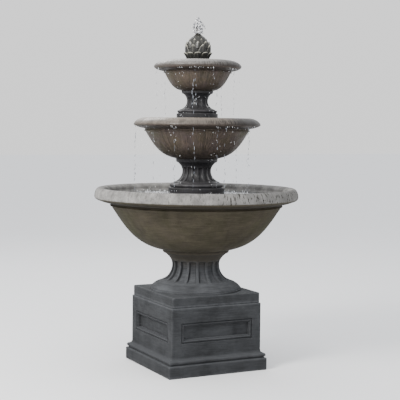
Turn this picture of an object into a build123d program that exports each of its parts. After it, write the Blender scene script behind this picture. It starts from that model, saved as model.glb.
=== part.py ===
"""Three-tier garden fountain in cast stone, with its pump and pipework.

Square panelled base, fluted pedestals, three overhanging bowls and an artichoke finial, all stacked
dry on one axis. A submersible pump stands in the main bowl inside a hollow riser, and a hose on the
axis feeds the nozzle on top of the finial. Millimetres, +Z up, origin at the middle of the underside
of the base. The panelled front face looks along -Y.
"""

import os
from dataclasses import dataclass
from math import cos, hypot, radians, sin, sqrt

from build123d import *

# ---- Square base ----
PLINTH_SIDE = 600.0
PLINTH_HEIGHT = 68.0
MOULDING_HEIGHT = 35.0  # nosing and hollow between the plinth and the body
MOULDING_INSET = 4.0  # nosing behind the plinth's face
MOULDING_QUIRK = 5.0  # narrow groove under the nosing
NOSING_HEIGHT = 22.0
BODY_INSET = 28.0  # body behind the plinth's face
BODY_HEIGHT = 272.0
BASE_WALL = 50.0
DECK_THICKNESS = 50.0
PANEL_SIDE_MARGIN = 54.0
PANEL_END_MARGIN = 80.0  # above and below the panel
PANEL_CENTRE_DROP = 3.0  # panel's centre below the middle of the body
PANEL_STEP_DEPTH = 5.0
PANEL_FRAME_WIDTH = 18.0
PANEL_DEPTH = 16.0
CORD_NOTCH_WIDTH = 60.0
CORD_NOTCH_HEIGHT = 42.0

# ---- Lower pedestal's square slab, cast in one piece with the pedestal ----
SLAB_INSET = 6.0  # slab behind the body's face
SLAB_HEIGHT = 57.0

# ---- Fluting ----
FLUTE_FILL = 0.74  # flute width as a share of its pitch at the waist
FLUTE_DEPTH_SHARE = 0.2  # flute depth as a share of its width
FLUTE_FOOT_SHARE = 0.03  # plain part of the column below the flutes
FLUTE_HEAD_SHARE = 0.64  # plain part of the flare above the flutes

# ---- Riser that hides the pump ----
RISER_ROOM = 16.5  # left between the riser and the pump or drain inside it
RISER_WALL = 32.0
RISER_HEIGHT = 262.0
RISER_ARCH_WIDTH = 52.0
RISER_ARCH_HEIGHT = 62.0
RISER_ARCH_COUNT = 4

# ---- Finial ----
FINIAL_FOOT_RADIUS = 56.0
FINIAL_FOOT_HEIGHT = 18.0
CALYX_RADIUS = 85.0
CALYX_TOP = 66.0
DOME_RADIUS = 75.0
DOME_TOP_RADIUS = 14.0
FINIAL_HEIGHT = 162.0
PETAL_COUNT = 10

# ---- Pipework ----
HOSE_WALL = 3.0
PIPE_RADIUS = 6.35
PIPE_WALL = 1.0
PIPE_OVERLAP = 50.0  # how far the pipe reaches down into the hose
NOZZLE_HEIGHT = 35.0
NOZZLE_RADIUS = 19.0
NOZZLE_BODY_RADIUS = 12.0
NOZZLE_ORIFICE_RADIUS = 3.0
PASSAGE_GAP = 0.1  # radial gap round the hose or pipe where it slides through
STOPPER_HEIGHT = 26.0
STOPPER_WALL = 12.0  # rubber between the hose and the hub, at the top
STOPPER_TAPER = 3.0  # a stopper's top is this much larger in radius than its foot

# ---- Drain through the main bowl ----
DRAIN_RADIUS = 16.0
DRAIN_ROOM = 10.0  # left between the drain's head and the pump
DRAIN_MARGIN = 8.0  # left between the drain and the bore under it
DRAIN_HEAD_RADIUS = 21.0
DRAIN_HEAD_HEIGHT = 7.0
DRAIN_CORD_RADIUS = 3.5

# ---- Pump ----
PUMP_WIDTH = 62.0
PUMP_HEIGHT = 64.0
MOTOR_LENGTH = 66.0
VOLUTE_LENGTH = 26.0
INTAKE_LENGTH = 32.0
PUMP_FOOT_HEIGHT = 12.0
PUMP_FOOT_RADIUS = 9.0
PUMP_EDGE = 6.0
ROTOR_RADIUS = 13.0
ROTOR_LENGTH = 48.0
ROTOR_GAP = 1.0
IMPELLER_RADIUS = 20.0
IMPELLER_WIDTH = 12.0
BLADE_COUNT = 6
BLADE_THICKNESS = 2.0
HUB_RADIUS = 6.0
DISC_THICKNESS = 3.0
SHAFT_RADIUS = 1.5
BUSH_RADIUS = 4.0
BUSH_LENGTH = 5.0
RUNNING_GAP = 0.05
BOSS_RADIUS = 13.0
BOSS_HEIGHT = 14.0
BARB_LENGTH = 30.0
COLLAR_HEIGHT = 8.0
INTAKE_WALL = 2.5
INTAKE_SLOTS = 7
DIAL_RADIUS = 13.0
DIAL_THICKNESS = 6.0
GLAND_RADIUS = 7.0
GLAND_LENGTH = 12.0
CLAMP_BAND = 1.2
CLAMP_WIDTH = 10.0
FACE_GAP = 0.3  # clear of the part that it moves against
COVER_PULL = 30.0  # how far the intake cover pulls off
SCREW_RADIUS = 1.5
SCREW_HEAD_RADIUS = 3.0
SCREW_HEAD_HEIGHT = 3.0
SCREW_GRIP = 10.0
SCREW_EDGE = 6.0  # from the pump's sides to a screw's axis

# ---- Sizes that follow from the ones above ----
BODY_SIDE = PLINTH_SIDE - 2 * BODY_INSET
SLAB_SIDE = BODY_SIDE - 2 * SLAB_INSET
PANEL_WIDTH = BODY_SIDE - 2 * PANEL_SIDE_MARGIN
PANEL_HEIGHT = BODY_HEIGHT - 2 * PANEL_END_MARGIN
HOSE_BORE_RADIUS = PIPE_RADIUS + PASSAGE_GAP
HOSE_RADIUS = HOSE_BORE_RADIUS + HOSE_WALL
HUB_BORE_RADIUS = HOSE_RADIUS + PASSAGE_GAP + STOPPER_WALL
DRAIN_OFFSET = PUMP_WIDTH / 2 + DRAIN_HEAD_RADIUS + DRAIN_ROOM
VOLUTE_BACK = -VOLUTE_LENGTH / 2
VOLUTE_FRONT = VOLUTE_LENGTH / 2
MOTOR_BACK = VOLUTE_BACK - MOTOR_LENGTH
INTAKE_FRONT = VOLUTE_FRONT + INTAKE_LENGTH
PUMP_REACH = max(
    hypot(MOTOR_BACK - GLAND_LENGTH, GLAND_RADIUS),
    hypot(MOTOR_BACK, PUMP_WIDTH / 2),
    hypot(INTAKE_FRONT + COVER_PULL, PUMP_WIDTH / 2),
    hypot(INTAKE_FRONT + FACE_GAP + DIAL_THICKNESS + COVER_PULL, DIAL_RADIUS),
    DRAIN_OFFSET + DRAIN_HEAD_RADIUS,
)
RISER_RADIUS = PUMP_REACH + RISER_ROOM + RISER_WALL


@dataclass
class Pedestal:
    """A turned, fluted pedestal. Heights run from its own foot."""

    foot_radius: float
    disc_height: float
    neck_radius: float  # where the foot's moulding starts above the disc
    neck_height: float
    torus_radius: float
    shoulder_radius: float
    shoulder_height: float
    column_radius: float  # foot of the hollow column, where the flutes end
    column_height: float
    waist_radius: float
    waist_height: float
    flare_radius: float
    flare_height: float
    ring_radius: float
    ring_height: float
    height: float
    bore_radius: float
    flutes: int


@dataclass
class Bowl:
    """A bowl with an overhanging rim. Heights run from the seat under the bowl."""

    seat_radius: float
    belly: tuple  # radius and height of three points up the outside
    band_radius: float
    band_bottom: float
    band_top: float
    lip_radius: float  # underside of the rim, before it turns up
    lip_height: float
    rim_radius: float
    rim_height: float  # height of the widest circle
    crest_radius: float
    height: float
    inner_radius: float
    inner_height: float
    wall: float
    floor: float
    hub_radius: float  # 0 without a hub
    hub_height: float
    bore_radius: float  # 0 without a bore


LOWER_PEDESTAL = Pedestal(
    foot_radius=258, disc_height=10, neck_radius=254, neck_height=14, torus_radius=241,
    shoulder_radius=220, shoulder_height=39, column_radius=194, column_height=51,
    waist_radius=133, waist_height=140, flare_radius=180, flare_height=209,
    ring_radius=188, ring_height=213, height=225, flutes=16,
    bore_radius=DRAIN_OFFSET + DRAIN_RADIUS + DRAIN_MARGIN,
)
MIDDLE_PEDESTAL = Pedestal(
    foot_radius=158, disc_height=44, neck_radius=146, neck_height=50, torus_radius=152,
    shoulder_radius=143, shoulder_height=70, column_radius=126, column_height=77,
    waist_radius=80, waist_height=139, flare_radius=110, flare_height=185,
    ring_radius=117, ring_height=190, height=207, bore_radius=42, flutes=16,
)
UPPER_PEDESTAL = Pedestal(
    foot_radius=117, disc_height=30, neck_radius=107, neck_height=38, torus_radius=113,
    shoulder_radius=108, shoulder_height=49, column_radius=97, column_height=55,
    waist_radius=58, waist_height=103, flare_radius=79, flare_height=140,
    ring_radius=87, ring_height=144, height=158, bore_radius=36, flutes=12,
)
MAIN_BOWL = Bowl(
    seat_radius=190, belly=((331, 62), (405, 136), (478, 243)),
    band_radius=492, band_bottom=246, band_top=268, lip_radius=556, lip_height=280,
    rim_radius=573, rim_height=300, crest_radius=545, height=348,
    inner_radius=510, inner_height=318, wall=40, floor=43,
    hub_radius=0, hub_height=0, bore_radius=0,
)
MIDDLE_BOWL = Bowl(
    seat_radius=122, belly=((203, 40), (254, 96), (291, 153)),
    band_radius=299, band_bottom=155, band_top=172, lip_radius=346, lip_height=180,
    rim_radius=357, rim_height=191, crest_radius=296, height=228,
    inner_radius=270, inner_height=208, wall=32, floor=38,
    hub_radius=98, hub_height=220, bore_radius=HUB_BORE_RADIUS,
)
TOP_BOWL = Bowl(
    seat_radius=91, belly=((139, 31), (164, 65), (186, 102)),
    band_radius=195, band_bottom=104, band_top=114, lip_radius=235, lip_height=122,
    rim_radius=245, rim_height=136, crest_radius=182, height=170,
    inner_radius=164, inner_height=150, wall=26, floor=34,
    hub_radius=58, hub_height=154, bore_radius=HUB_BORE_RADIUS,
)

# ---- Heights of the stack, worked out from the pieces ----
BASE_TOP = PLINTH_HEIGHT + MOULDING_HEIGHT + BODY_HEIGHT
COLUMN_FOOT = BASE_TOP + SLAB_HEIGHT
MAIN_BOWL_SEAT = COLUMN_FOOT + LOWER_PEDESTAL.height
MAIN_FLOOR = MAIN_BOWL_SEAT + MAIN_BOWL.floor
MIDDLE_PEDESTAL_FOOT = MAIN_FLOOR + RISER_HEIGHT
MIDDLE_BOWL_SEAT = MIDDLE_PEDESTAL_FOOT + MIDDLE_PEDESTAL.height
UPPER_PEDESTAL_FOOT = MIDDLE_BOWL_SEAT + MIDDLE_BOWL.hub_height
TOP_BOWL_SEAT = UPPER_PEDESTAL_FOOT + UPPER_PEDESTAL.height
FINIAL_FOOT = TOP_BOWL_SEAT + TOP_BOWL.hub_height
FINIAL_TOP = FINIAL_FOOT + FINIAL_HEIGHT

# ---- Lines of the pump, which lies along X with its outlet on the fountain's axis ----
PUMP_BOTTOM = MAIN_FLOOR + PUMP_FOOT_HEIGHT
PUMP_AXIS_Z = PUMP_BOTTOM + PUMP_HEIGHT / 2
BOSS_TOP = PUMP_BOTTOM + PUMP_HEIGHT + BOSS_HEIGHT
HOSE_FOOT = BOSS_TOP + COLLAR_HEIGHT
HOSE_TOP = TOP_BOWL_SEAT + TOP_BOWL.hub_height - STOPPER_HEIGHT - 2 * CLAMP_WIDTH


# ---------------------------------------------------------------- helpers
class Via(tuple):
    """A point that an arc passes, between the outline's points before and after it."""


def outline(points):
    """Closed outline of straight runs and arcs through (radius, height) points."""
    edges = []
    ring = list(points) + [points[0]]
    start = ring[0]
    index = 1
    while index < len(ring):
        point = ring[index]
        if isinstance(point, Via):
            index += 1
            edges.append(ThreePointArc(start, tuple(point), ring[index]))
        elif hypot(point[0] - start[0], point[1] - start[1]) > 0:
            edges.append(Line(start, point))
        start = ring[index]
        index += 1
    return Wire(edges)


def turned(points, at=0.0):
    """Solid turned about Z from an outline in the XZ plane, lifted by at."""
    face = Plane.XZ * Face(outline(points))
    return Pos(0, 0, at) * revolve(face, Axis.Z, 360)


def sagged(start, end, bulge):
    """Via point half way from start to end, pushed out sideways by bulge."""
    run, rise = end[0] - start[0], end[1] - start[1]
    length = hypot(run, rise)
    return Via(((start[0] + end[0]) / 2 + rise / length * bulge,
                (start[1] + end[1]) / 2 - run / length * bulge))


def rod(radius, length, along="Z"):
    """Cylinder that starts at the origin and runs along an axis."""
    body = Cylinder(radius, length, align=(Align.CENTER, Align.CENTER, Align.MIN))
    return Rot(0, 90, 0) * body if along == "X" else body


def tube(outer, inner, length):
    """Tube that starts at the origin and runs along Z."""
    return rod(outer, length) - rod(inner, length)


def block(low, high):
    """Box between two corners."""
    size = [b - a for a, b in zip(low, high)]
    return Pos(*low) * Box(*size, align=(Align.MIN, Align.MIN, Align.MIN))


def square(side, height, at=0.0):
    """Square slab about the axis with its foot at a height."""
    return Pos(0, 0, at) * Box(side, side, height, align=(Align.CENTER, Align.CENTER, Align.MIN))


def write(name, *shapes):
    """Writes one node, whose solids stay separate."""
    solids = [solid for shape in shapes for solid in shape.solids()]
    shape = solids[0] if len(solids) == 1 else Compound(children=solids)
    export_step(shape, f"parts/{name}.step")


# ---------------------------------------------------------------- square base
def moulding():
    """Recessed neck, rounded nosing and sloping top between the plinth and the body."""
    nose_side = PLINTH_SIDE - 2 * MOULDING_INSET
    nose_foot = PLINTH_HEIGHT + MOULDING_QUIRK
    nose_top = nose_foot + NOSING_HEIGHT
    nose = square(nose_side, NOSING_HEIGHT, nose_foot)
    level_edges = nose.edges().filter_by(Axis.Z, reverse=True)
    nose = fillet(level_edges, NOSING_HEIGHT * 0.45)
    neck = square(nose_side - 2 * MOULDING_QUIRK, MOULDING_QUIRK + NOSING_HEIGHT / 2, PLINTH_HEIGHT)
    wide = Pos(0, 0, nose_top) * Rectangle(nose_side - NOSING_HEIGHT, nose_side - NOSING_HEIGHT)
    narrow = Pos(0, 0, PLINTH_HEIGHT + MOULDING_HEIGHT) * Rectangle(BODY_SIDE, BODY_SIDE)
    return nose + neck + loft([wide.face(), narrow.face()])


def panel_recess():
    """What is cut from the front face: a shallow step, then a bevel down to the sunk panel."""
    face_y = -BODY_SIDE / 2
    centre_z = PLINTH_HEIGHT + MOULDING_HEIGHT + BODY_HEIGHT / 2 - PANEL_CENTRE_DROP
    step = Pos(0, face_y + PANEL_STEP_DEPTH / 2, centre_z) * Box(
        PANEL_WIDTH, PANEL_STEP_DEPTH, PANEL_HEIGHT)
    frame = 2 * PANEL_FRAME_WIDTH
    bevel = PANEL_DEPTH - PANEL_STEP_DEPTH
    mouth = Pos(0, face_y + PANEL_STEP_DEPTH, centre_z) * Rot(90, 0, 0) * Rectangle(
        PANEL_WIDTH - frame, PANEL_HEIGHT - frame)
    sunk = Pos(0, face_y + PANEL_DEPTH, centre_z) * Rot(90, 0, 0) * Rectangle(
        PANEL_WIDTH - frame - bevel, PANEL_HEIGHT - frame - bevel)
    return step + loft([mouth.face(), sunk.face()])


def square_base():
    """Hollow base: plinth, moulding and panelled body, open below, with a cord notch at the back."""
    shell = square(PLINTH_SIDE, PLINTH_HEIGHT)
    shell += square(BODY_SIDE, MOULDING_HEIGHT + BODY_HEIGHT, PLINTH_HEIGHT)
    shell += moulding()
    hollow = BODY_SIDE - 2 * BASE_WALL
    shell -= square(hollow, BASE_TOP - DECK_THICKNESS)
    shell -= rod(LOWER_PEDESTAL.bore_radius, BASE_TOP)
    recess = panel_recess()
    for quarter in range(4):
        shell -= Rot(0, 0, quarter * 90) * recess
    arch_radius = CORD_NOTCH_WIDTH / 2
    straight = CORD_NOTCH_HEIGHT - arch_radius
    depth = PLINTH_SIDE / 2
    notch = block((-arch_radius, 0, 0), (arch_radius, depth, straight))
    notch += Pos(0, 0, straight) * Rot(-90, 0, 0) * rod(arch_radius, depth)
    return shell - notch


# ---------------------------------------------------------------- turned stone
def column_arcs(p):
    """Centres and radii of the two arcs that meet at a pedestal's waist."""
    arcs = []
    for radius, height in ((p.column_radius, p.column_height), (p.flare_radius, p.flare_height)):
        out, rise = radius - p.waist_radius, height - p.waist_height
        arcs.append((out * out + rise * rise) / (2 * out))
    return arcs


def on_arc(p, bend, height):
    """Radius of the column at a height, on the arc of a given bend."""
    return p.waist_radius + bend - sqrt(bend * bend - (height - p.waist_height) ** 2)


def pedestal_outline(p):
    """Outline of a pedestal with its bore."""
    lower, upper = column_arcs(p)
    low_mid = (p.column_height + p.waist_height) / 2
    high_mid = (p.flare_height + p.waist_height) / 2
    neck, shoulder = (p.neck_radius, p.neck_height), (p.shoulder_radius, p.shoulder_height)
    column = (p.column_radius, p.column_height)
    disc_top = (p.foot_radius, p.disc_height)
    return [
        (p.bore_radius, 0), (p.foot_radius, 0), disc_top, sagged(disc_top, neck, -2), neck,
        Via((p.torus_radius, (p.neck_height + p.shoulder_height) / 2)), shoulder,
        sagged(shoulder, column, -2), column,
        Via((on_arc(p, lower, low_mid), low_mid)), (p.waist_radius, p.waist_height),
        Via((on_arc(p, upper, high_mid), high_mid)), (p.flare_radius, p.flare_height),
        (p.ring_radius, p.ring_height), (p.ring_radius, p.height), (p.bore_radius, p.height),
    ]


def flutes(p, at):
    """Square-ended cutters that follow the column's hollow, one for each flute."""
    turn = 360 / p.flutes
    depth = radians(turn) * p.waist_radius * FLUTE_FILL * FLUTE_DEPTH_SHARE
    lower, upper = column_arcs(p)
    low_z = p.column_height + FLUTE_FOOT_SHARE * (p.waist_height - p.column_height)
    high_z = p.flare_height - FLUTE_HEAD_SHARE * (p.flare_height - p.waist_height)
    low_mid = (low_z + p.waist_height) / 2
    high_mid = (high_z + p.waist_height) / 2
    reach = max(on_arc(p, lower, low_z), on_arc(p, upper, high_z)) + depth
    section = outline([
        (on_arc(p, lower, low_z) - depth, low_z),
        Via((on_arc(p, lower, low_mid) - depth, low_mid)),
        (p.waist_radius - depth, p.waist_height),
        Via((on_arc(p, upper, high_mid) - depth, high_mid)),
        (on_arc(p, upper, high_z) - depth, high_z),
        (reach, high_z), (reach, low_z),
    ])
    one = Pos(0, 0, at) * revolve(Plane.XZ * Face(section), Axis.Z, turn * FLUTE_FILL)
    return [Rot(0, 0, number * turn) * one for number in range(p.flutes)]


def pedestal(p, at):
    """A fluted pedestal standing at a height."""
    return turned(pedestal_outline(p), at) - flutes(p, at)


def lower_pedestal():
    """Lower pedestal, cast in one piece with the square slab under it."""
    slab = square(SLAB_SIDE, SLAB_HEIGHT, BASE_TOP)
    slab -= Pos(0, 0, BASE_TOP) * rod(LOWER_PEDESTAL.bore_radius, SLAB_HEIGHT)
    return slab + pedestal(LOWER_PEDESTAL, COLUMN_FOOT)


def brow(side, top):
    """Point on the rounded corner between a side and a top, which bulges past neither."""
    run, rise = top[0] - side[0], top[1] - side[1]
    if abs(run) > rise:
        radius = (run**2 + rise**2) / (2 * rise)
        centre = (top[0], top[1] - radius)
    else:
        radius = (run**2 + rise**2) / (2 * abs(run))
        centre = (side[0] + (radius if run > 0 else -radius), side[1])
    across = (side[0] + top[0]) / 2 - centre[0]
    up = (side[1] + top[1]) / 2 - centre[1]
    scale = radius / hypot(across, up)
    return Via((centre[0] + across * scale, centre[1] + up * scale))


def bowl(b, at):
    """A bowl, with the hub and bore that a feed pipe needs if it has them."""
    seat = (b.seat_radius, 0)
    low, mid, high = b.belly
    lip = (b.lip_radius, b.lip_height)
    crest = (b.crest_radius, b.height)
    inner = (b.inner_radius, b.inner_height)
    widest = (b.rim_radius, b.rim_height)
    inner_high = (high[0] - b.wall, high[1])
    inner_mid = (mid[0] - b.wall, mid[1])
    inner_low = Via((low[0] - b.wall * 0.62, low[1] + b.wall * 0.78))
    floor_edge = (b.seat_radius, b.floor)
    points = [
        seat, Via(low), mid, sagged(mid, high, -2), high, (b.band_radius, b.band_bottom),
        (b.band_radius, b.band_top), lip,
        Via((widest[0] - (widest[0] - lip[0]) * 0.25, (lip[1] + widest[1]) / 2 - 2)), widest,
        brow(widest, crest), crest, brow(inner, crest), inner,
        inner_high, inner_mid, inner_low, floor_edge,
    ]
    if b.hub_radius:
        points += [(b.hub_radius + 12, b.floor), (b.hub_radius, b.floor + 12),
                   (b.hub_radius, b.hub_height), (b.bore_radius, b.hub_height), (b.bore_radius, 0)]
    else:
        points += [(0, b.floor), (0, 0)]
    return turned(points, at)


def stopper(bore_radius, passage_radius, top):
    """Tapered rubber stopper with its top at a height, and a hole for a hose or pipe."""
    foot = bore_radius - STOPPER_TAPER
    hole = passage_radius + PASSAGE_GAP
    return turned([(hole, 0), (foot, 0), (bore_radius, STOPPER_HEIGHT), (hole, STOPPER_HEIGHT)],
                  top - STOPPER_HEIGHT)


def stopper_seat(bore_radius, top):
    """Ring inside a hub's bore that tapers to hold the stopper."""
    foot = bore_radius - STOPPER_TAPER
    return turned([(foot, 0), (bore_radius, STOPPER_HEIGHT), (bore_radius, 0)],
                  top - STOPPER_HEIGHT)


def middle_bowl():
    """Middle bowl with its hub, whose bore tapers for the stopper."""
    top = MIDDLE_BOWL_SEAT + MIDDLE_BOWL.hub_height
    return bowl(MIDDLE_BOWL, MIDDLE_BOWL_SEAT) + stopper_seat(MIDDLE_BOWL.bore_radius, top)


def top_bowl():
    """Top bowl with its hub, whose bore tapers for the stopper."""
    top = TOP_BOWL_SEAT + TOP_BOWL.hub_height
    return bowl(TOP_BOWL, TOP_BOWL_SEAT) + stopper_seat(TOP_BOWL.bore_radius, top)


def main_bowl():
    """Main bowl with the stepped drain hole behind the pump."""
    hole = Pos(0, DRAIN_OFFSET, MAIN_BOWL_SEAT) * rod(DRAIN_RADIUS, MAIN_BOWL.floor)
    return bowl(MAIN_BOWL, MAIN_BOWL_SEAT) - hole


def drain_stopper():
    """Rubber stopper in the drain hole, headed on top, with a hole for the pump's cord."""
    plug = rod(DRAIN_RADIUS, MAIN_BOWL.floor)
    head = Pos(0, 0, MAIN_BOWL.floor) * rod(DRAIN_HEAD_RADIUS, DRAIN_HEAD_HEIGHT)
    cord_hole = rod(DRAIN_CORD_RADIUS, MAIN_BOWL.floor + DRAIN_HEAD_HEIGHT)
    return Pos(0, DRAIN_OFFSET, MAIN_BOWL_SEAT) * (plug + head - cord_hole)


def pump_riser():
    """Hollow stone ring round the pump, with arches at its foot for the water."""
    ring = tube(RISER_RADIUS, RISER_RADIUS - RISER_WALL, RISER_HEIGHT)
    half = RISER_ARCH_WIDTH / 2
    straight = RISER_ARCH_HEIGHT - half
    arch = block((0, -half, 0), (RISER_RADIUS + 1, half, straight))
    arch += Pos(0, 0, straight) * rod(half, RISER_RADIUS + 1, along="X")
    for number in range(RISER_ARCH_COUNT):
        ring -= Rot(0, 0, number * 360 / RISER_ARCH_COUNT) * arch
    return Pos(0, 0, MAIN_FLOOR) * ring


# ---------------------------------------------------------------- finial
def finial():
    """Artichoke finial: foot, calyx with scalloped petals, and a domed top, bored for the pipe."""
    hole = PIPE_RADIUS + PASSAGE_GAP
    lip_thickness = 5.0
    calyx_under = (CALYX_RADIUS - 8, CALYX_TOP - 11)
    foot = (FINIAL_FOOT_RADIUS, FINIAL_FOOT_HEIGHT)
    dome_foot = (DOME_RADIUS, CALYX_TOP + 3)
    dome_top = (DOME_TOP_RADIUS, FINIAL_HEIGHT)
    dome_rise = FINIAL_HEIGHT - CALYX_TOP
    shoulder = Via((DOME_RADIUS * 0.8, CALYX_TOP + dome_rise * 0.6))
    body = turned([
        (hole, 0), (FINIAL_FOOT_RADIUS - 6, 0), foot, sagged(foot, calyx_under, 4), calyx_under,
        (CALYX_RADIUS, CALYX_TOP - lip_thickness), (CALYX_RADIUS, CALYX_TOP), dome_foot, shoulder,
        dome_top, (hole, FINIAL_HEIGHT),
    ])
    scallop = 9.0
    reach = CALYX_RADIUS + scallop * 0.35
    for number in range(PETAL_COUNT):
        angle = radians((number + 0.5) * 360 / PETAL_COUNT)
        body -= Pos(reach * cos(angle), reach * sin(angle), CALYX_TOP - lip_thickness - 6) * rod(
            scallop, lip_thickness + 8)
    return Pos(0, 0, FINIAL_FOOT) * body


def copper_pipe():
    """Copper pipe through the finial, pushed down into the hose."""
    foot = HOSE_TOP - PIPE_OVERLAP
    length = FINIAL_TOP + NOZZLE_HEIGHT / 2 - foot
    return Pos(0, 0, foot) * tube(PIPE_RADIUS, PIPE_RADIUS - PIPE_WALL, length)


def nozzle():
    """Brass bubbler nozzle on the pipe: body, waist and flared lip round its orifice."""
    seat = PIPE_RADIUS
    stop = NOZZLE_HEIGHT / 2
    return turned([
        (seat, 0), (NOZZLE_BODY_RADIUS + 2, 0), (NOZZLE_BODY_RADIUS + 2, 6),
        (NOZZLE_BODY_RADIUS, 8), (NOZZLE_BODY_RADIUS, NOZZLE_HEIGHT - 13),
        Via((NOZZLE_BODY_RADIUS + 1.5, NOZZLE_HEIGHT - 8)), (NOZZLE_RADIUS, NOZZLE_HEIGHT - 3),
        (NOZZLE_RADIUS, NOZZLE_HEIGHT), (NOZZLE_ORIFICE_RADIUS, NOZZLE_HEIGHT),
        (NOZZLE_ORIFICE_RADIUS, stop), (seat, stop),
    ], FINIAL_TOP)


# ---------------------------------------------------------------- hose
def riser_hose():
    """Vinyl hose up the axis, from the pump's barb to the finial's pipe."""
    return Pos(0, 0, HOSE_FOOT) * tube(HOSE_RADIUS, HOSE_BORE_RADIUS, HOSE_TOP - HOSE_FOOT)


def hose_clamp():
    """Worm-drive clamp: the band round the hose and the screw housing on it."""
    band = tube(HOSE_RADIUS + CLAMP_BAND, HOSE_RADIUS, CLAMP_WIDTH)
    housing = Pos(0, HOSE_RADIUS + CLAMP_BAND + 2.5, CLAMP_WIDTH / 2) * Box(14, 6, CLAMP_WIDTH)
    screw = Pos(7, HOSE_RADIUS + CLAMP_BAND + 2.5, CLAMP_WIDTH / 2) * rod(3.2, 6, along="X")
    bore = rod(HOSE_RADIUS, CLAMP_WIDTH)
    return Pos(0, 0, HOSE_FOOT + 8) * (band + housing + screw - bore)


# ---------------------------------------------------------------- pump
def housing_block(back, front, edge=PUMP_EDGE):
    """Block of the pump's section between two places on X, with rounded long edges."""
    shape = block((back, -PUMP_WIDTH / 2, PUMP_BOTTOM),
                  (front, PUMP_WIDTH / 2, PUMP_BOTTOM + PUMP_HEIGHT))
    return fillet(shape.edges().filter_by(Axis.X), edge)


def on_rotor_axis(x, shape):
    """Moves a shape to a place on the rotor's axis."""
    return Pos(x, 0, PUMP_AXIS_Z) * shape


def pump_motor():
    """Sealed motor block with the blind well that the rotor turns in."""
    well = ROTOR_LENGTH + 2 * ROTOR_GAP + BUSH_LENGTH
    body = housing_block(MOTOR_BACK, VOLUTE_BACK)
    body -= on_rotor_axis(VOLUTE_BACK - well, rod(ROTOR_RADIUS + ROTOR_GAP, well, along="X"))
    return body - seal_ring() - volute_screws()


def seal_ring():
    """Rubber ring between the motor and the volute cover, in the motor's groove."""
    radius, section = ROTOR_RADIUS + 8.0, 2.0
    ring = Rot(0, 90, 0) * tube(radius + section, radius, section)
    return on_rotor_axis(VOLUTE_BACK - section, ring)


def volute_screws():
    """Four screws that hold the volute cover to the motor, their heads sunk in the cover."""
    head = Pos(VOLUTE_FRONT - SCREW_HEAD_HEIGHT, 0, 0) * rod(
        SCREW_HEAD_RADIUS, SCREW_HEAD_HEIGHT, along="X")
    shank_foot = VOLUTE_BACK - SCREW_GRIP
    shank_length = VOLUTE_FRONT - SCREW_HEAD_HEIGHT - shank_foot
    screw = head + Pos(shank_foot, 0, 0) * rod(SCREW_RADIUS, shank_length, along="X")
    y, z = PUMP_WIDTH / 2 - SCREW_EDGE, PUMP_HEIGHT / 2 - SCREW_EDGE
    return [Pos(0, side * y, PUMP_AXIS_Z + level * z) * screw
            for side in (-1, 1) for level in (-1, 1)]


def volute_cover():
    """Front of the pump: impeller chamber, intake eye and the outlet boss on top."""
    body = housing_block(VOLUTE_BACK, VOLUTE_FRONT)
    body += Pos(0, 0, PUMP_BOTTOM + PUMP_HEIGHT) * rod(BOSS_RADIUS, BOSS_HEIGHT)
    chamber = IMPELLER_RADIUS + 3
    chamber_front = VOLUTE_FRONT - 5
    body -= on_rotor_axis(VOLUTE_BACK, rod(chamber, chamber_front - VOLUTE_BACK, along="X"))
    eye = on_rotor_axis(chamber_front, rod(10, VOLUTE_FRONT - chamber_front, along="X"))
    spider = block((chamber_front, -2, PUMP_AXIS_Z - 10), (VOLUTE_FRONT, 2, PUMP_AXIS_Z + 10))
    hub = on_rotor_axis(chamber_front, rod(BUSH_RADIUS + 2, VOLUTE_FRONT - chamber_front, along="X"))
    seat = on_rotor_axis(chamber_front, rod(BUSH_RADIUS, BUSH_LENGTH, along="X"))
    body = body - (eye - spider - hub) - seat
    outlet = Pos(0, 0, PUMP_AXIS_Z) * rod(HOSE_BORE_RADIUS - 1.5, BOSS_TOP - PUMP_AXIS_Z)
    return body - outlet - volute_screws()


def impeller():
    """Magnet rotor and the bladed wheel on its nose, bored for the shaft."""
    start = VOLUTE_BACK - ROTOR_GAP - ROTOR_LENGTH
    length = shaft_ends()[1] - ROTOR_GAP - start
    disc_at = ROTOR_LENGTH + 2 * ROTOR_GAP
    shape = rod(ROTOR_RADIUS, ROTOR_LENGTH, along="X") + rod(HUB_RADIUS, length, along="X")
    shape += Pos(disc_at, 0, 0) * rod(IMPELLER_RADIUS * 0.8, DISC_THICKNESS, along="X")
    for number in range(BLADE_COUNT):
        blade = block((disc_at, HUB_RADIUS - 1, -BLADE_THICKNESS / 2),
                      (disc_at + IMPELLER_WIDTH, IMPELLER_RADIUS, BLADE_THICKNESS / 2))
        shape += Rot(number * 360 / BLADE_COUNT, 0, 0) * blade
    shape -= rod(SHAFT_RADIUS + RUNNING_GAP, length, along="X")
    return on_rotor_axis(start, shape)


def shaft_ends():
    """Places on X where the shaft's two rubber bushes start."""
    rear = VOLUTE_BACK - ROTOR_LENGTH - 2 * ROTOR_GAP - BUSH_LENGTH
    return rear, VOLUTE_FRONT - 5


def impeller_shaft():
    """Ceramic shaft, held at each end in a rubber bush."""
    rear, front = shaft_ends()
    length = front + BUSH_LENGTH - 1 - (rear + 1)
    return on_rotor_axis(rear + 1, rod(SHAFT_RADIUS, length, along="X"))


def shaft_bushes():
    """Two rubber bushes, each a cup on one end of the shaft."""
    rear, front = shaft_ends()
    cup = rod(BUSH_RADIUS, BUSH_LENGTH, along="X")
    pocket = rod(SHAFT_RADIUS, BUSH_LENGTH - 1, along="X")
    rear_radius = ROTOR_RADIUS + ROTOR_GAP
    rear_cup = rod(rear_radius, BUSH_LENGTH, along="X") - Pos(1, 0, 0) * pocket
    return on_rotor_axis(rear, rear_cup), on_rotor_axis(front, cup - pocket)


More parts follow.
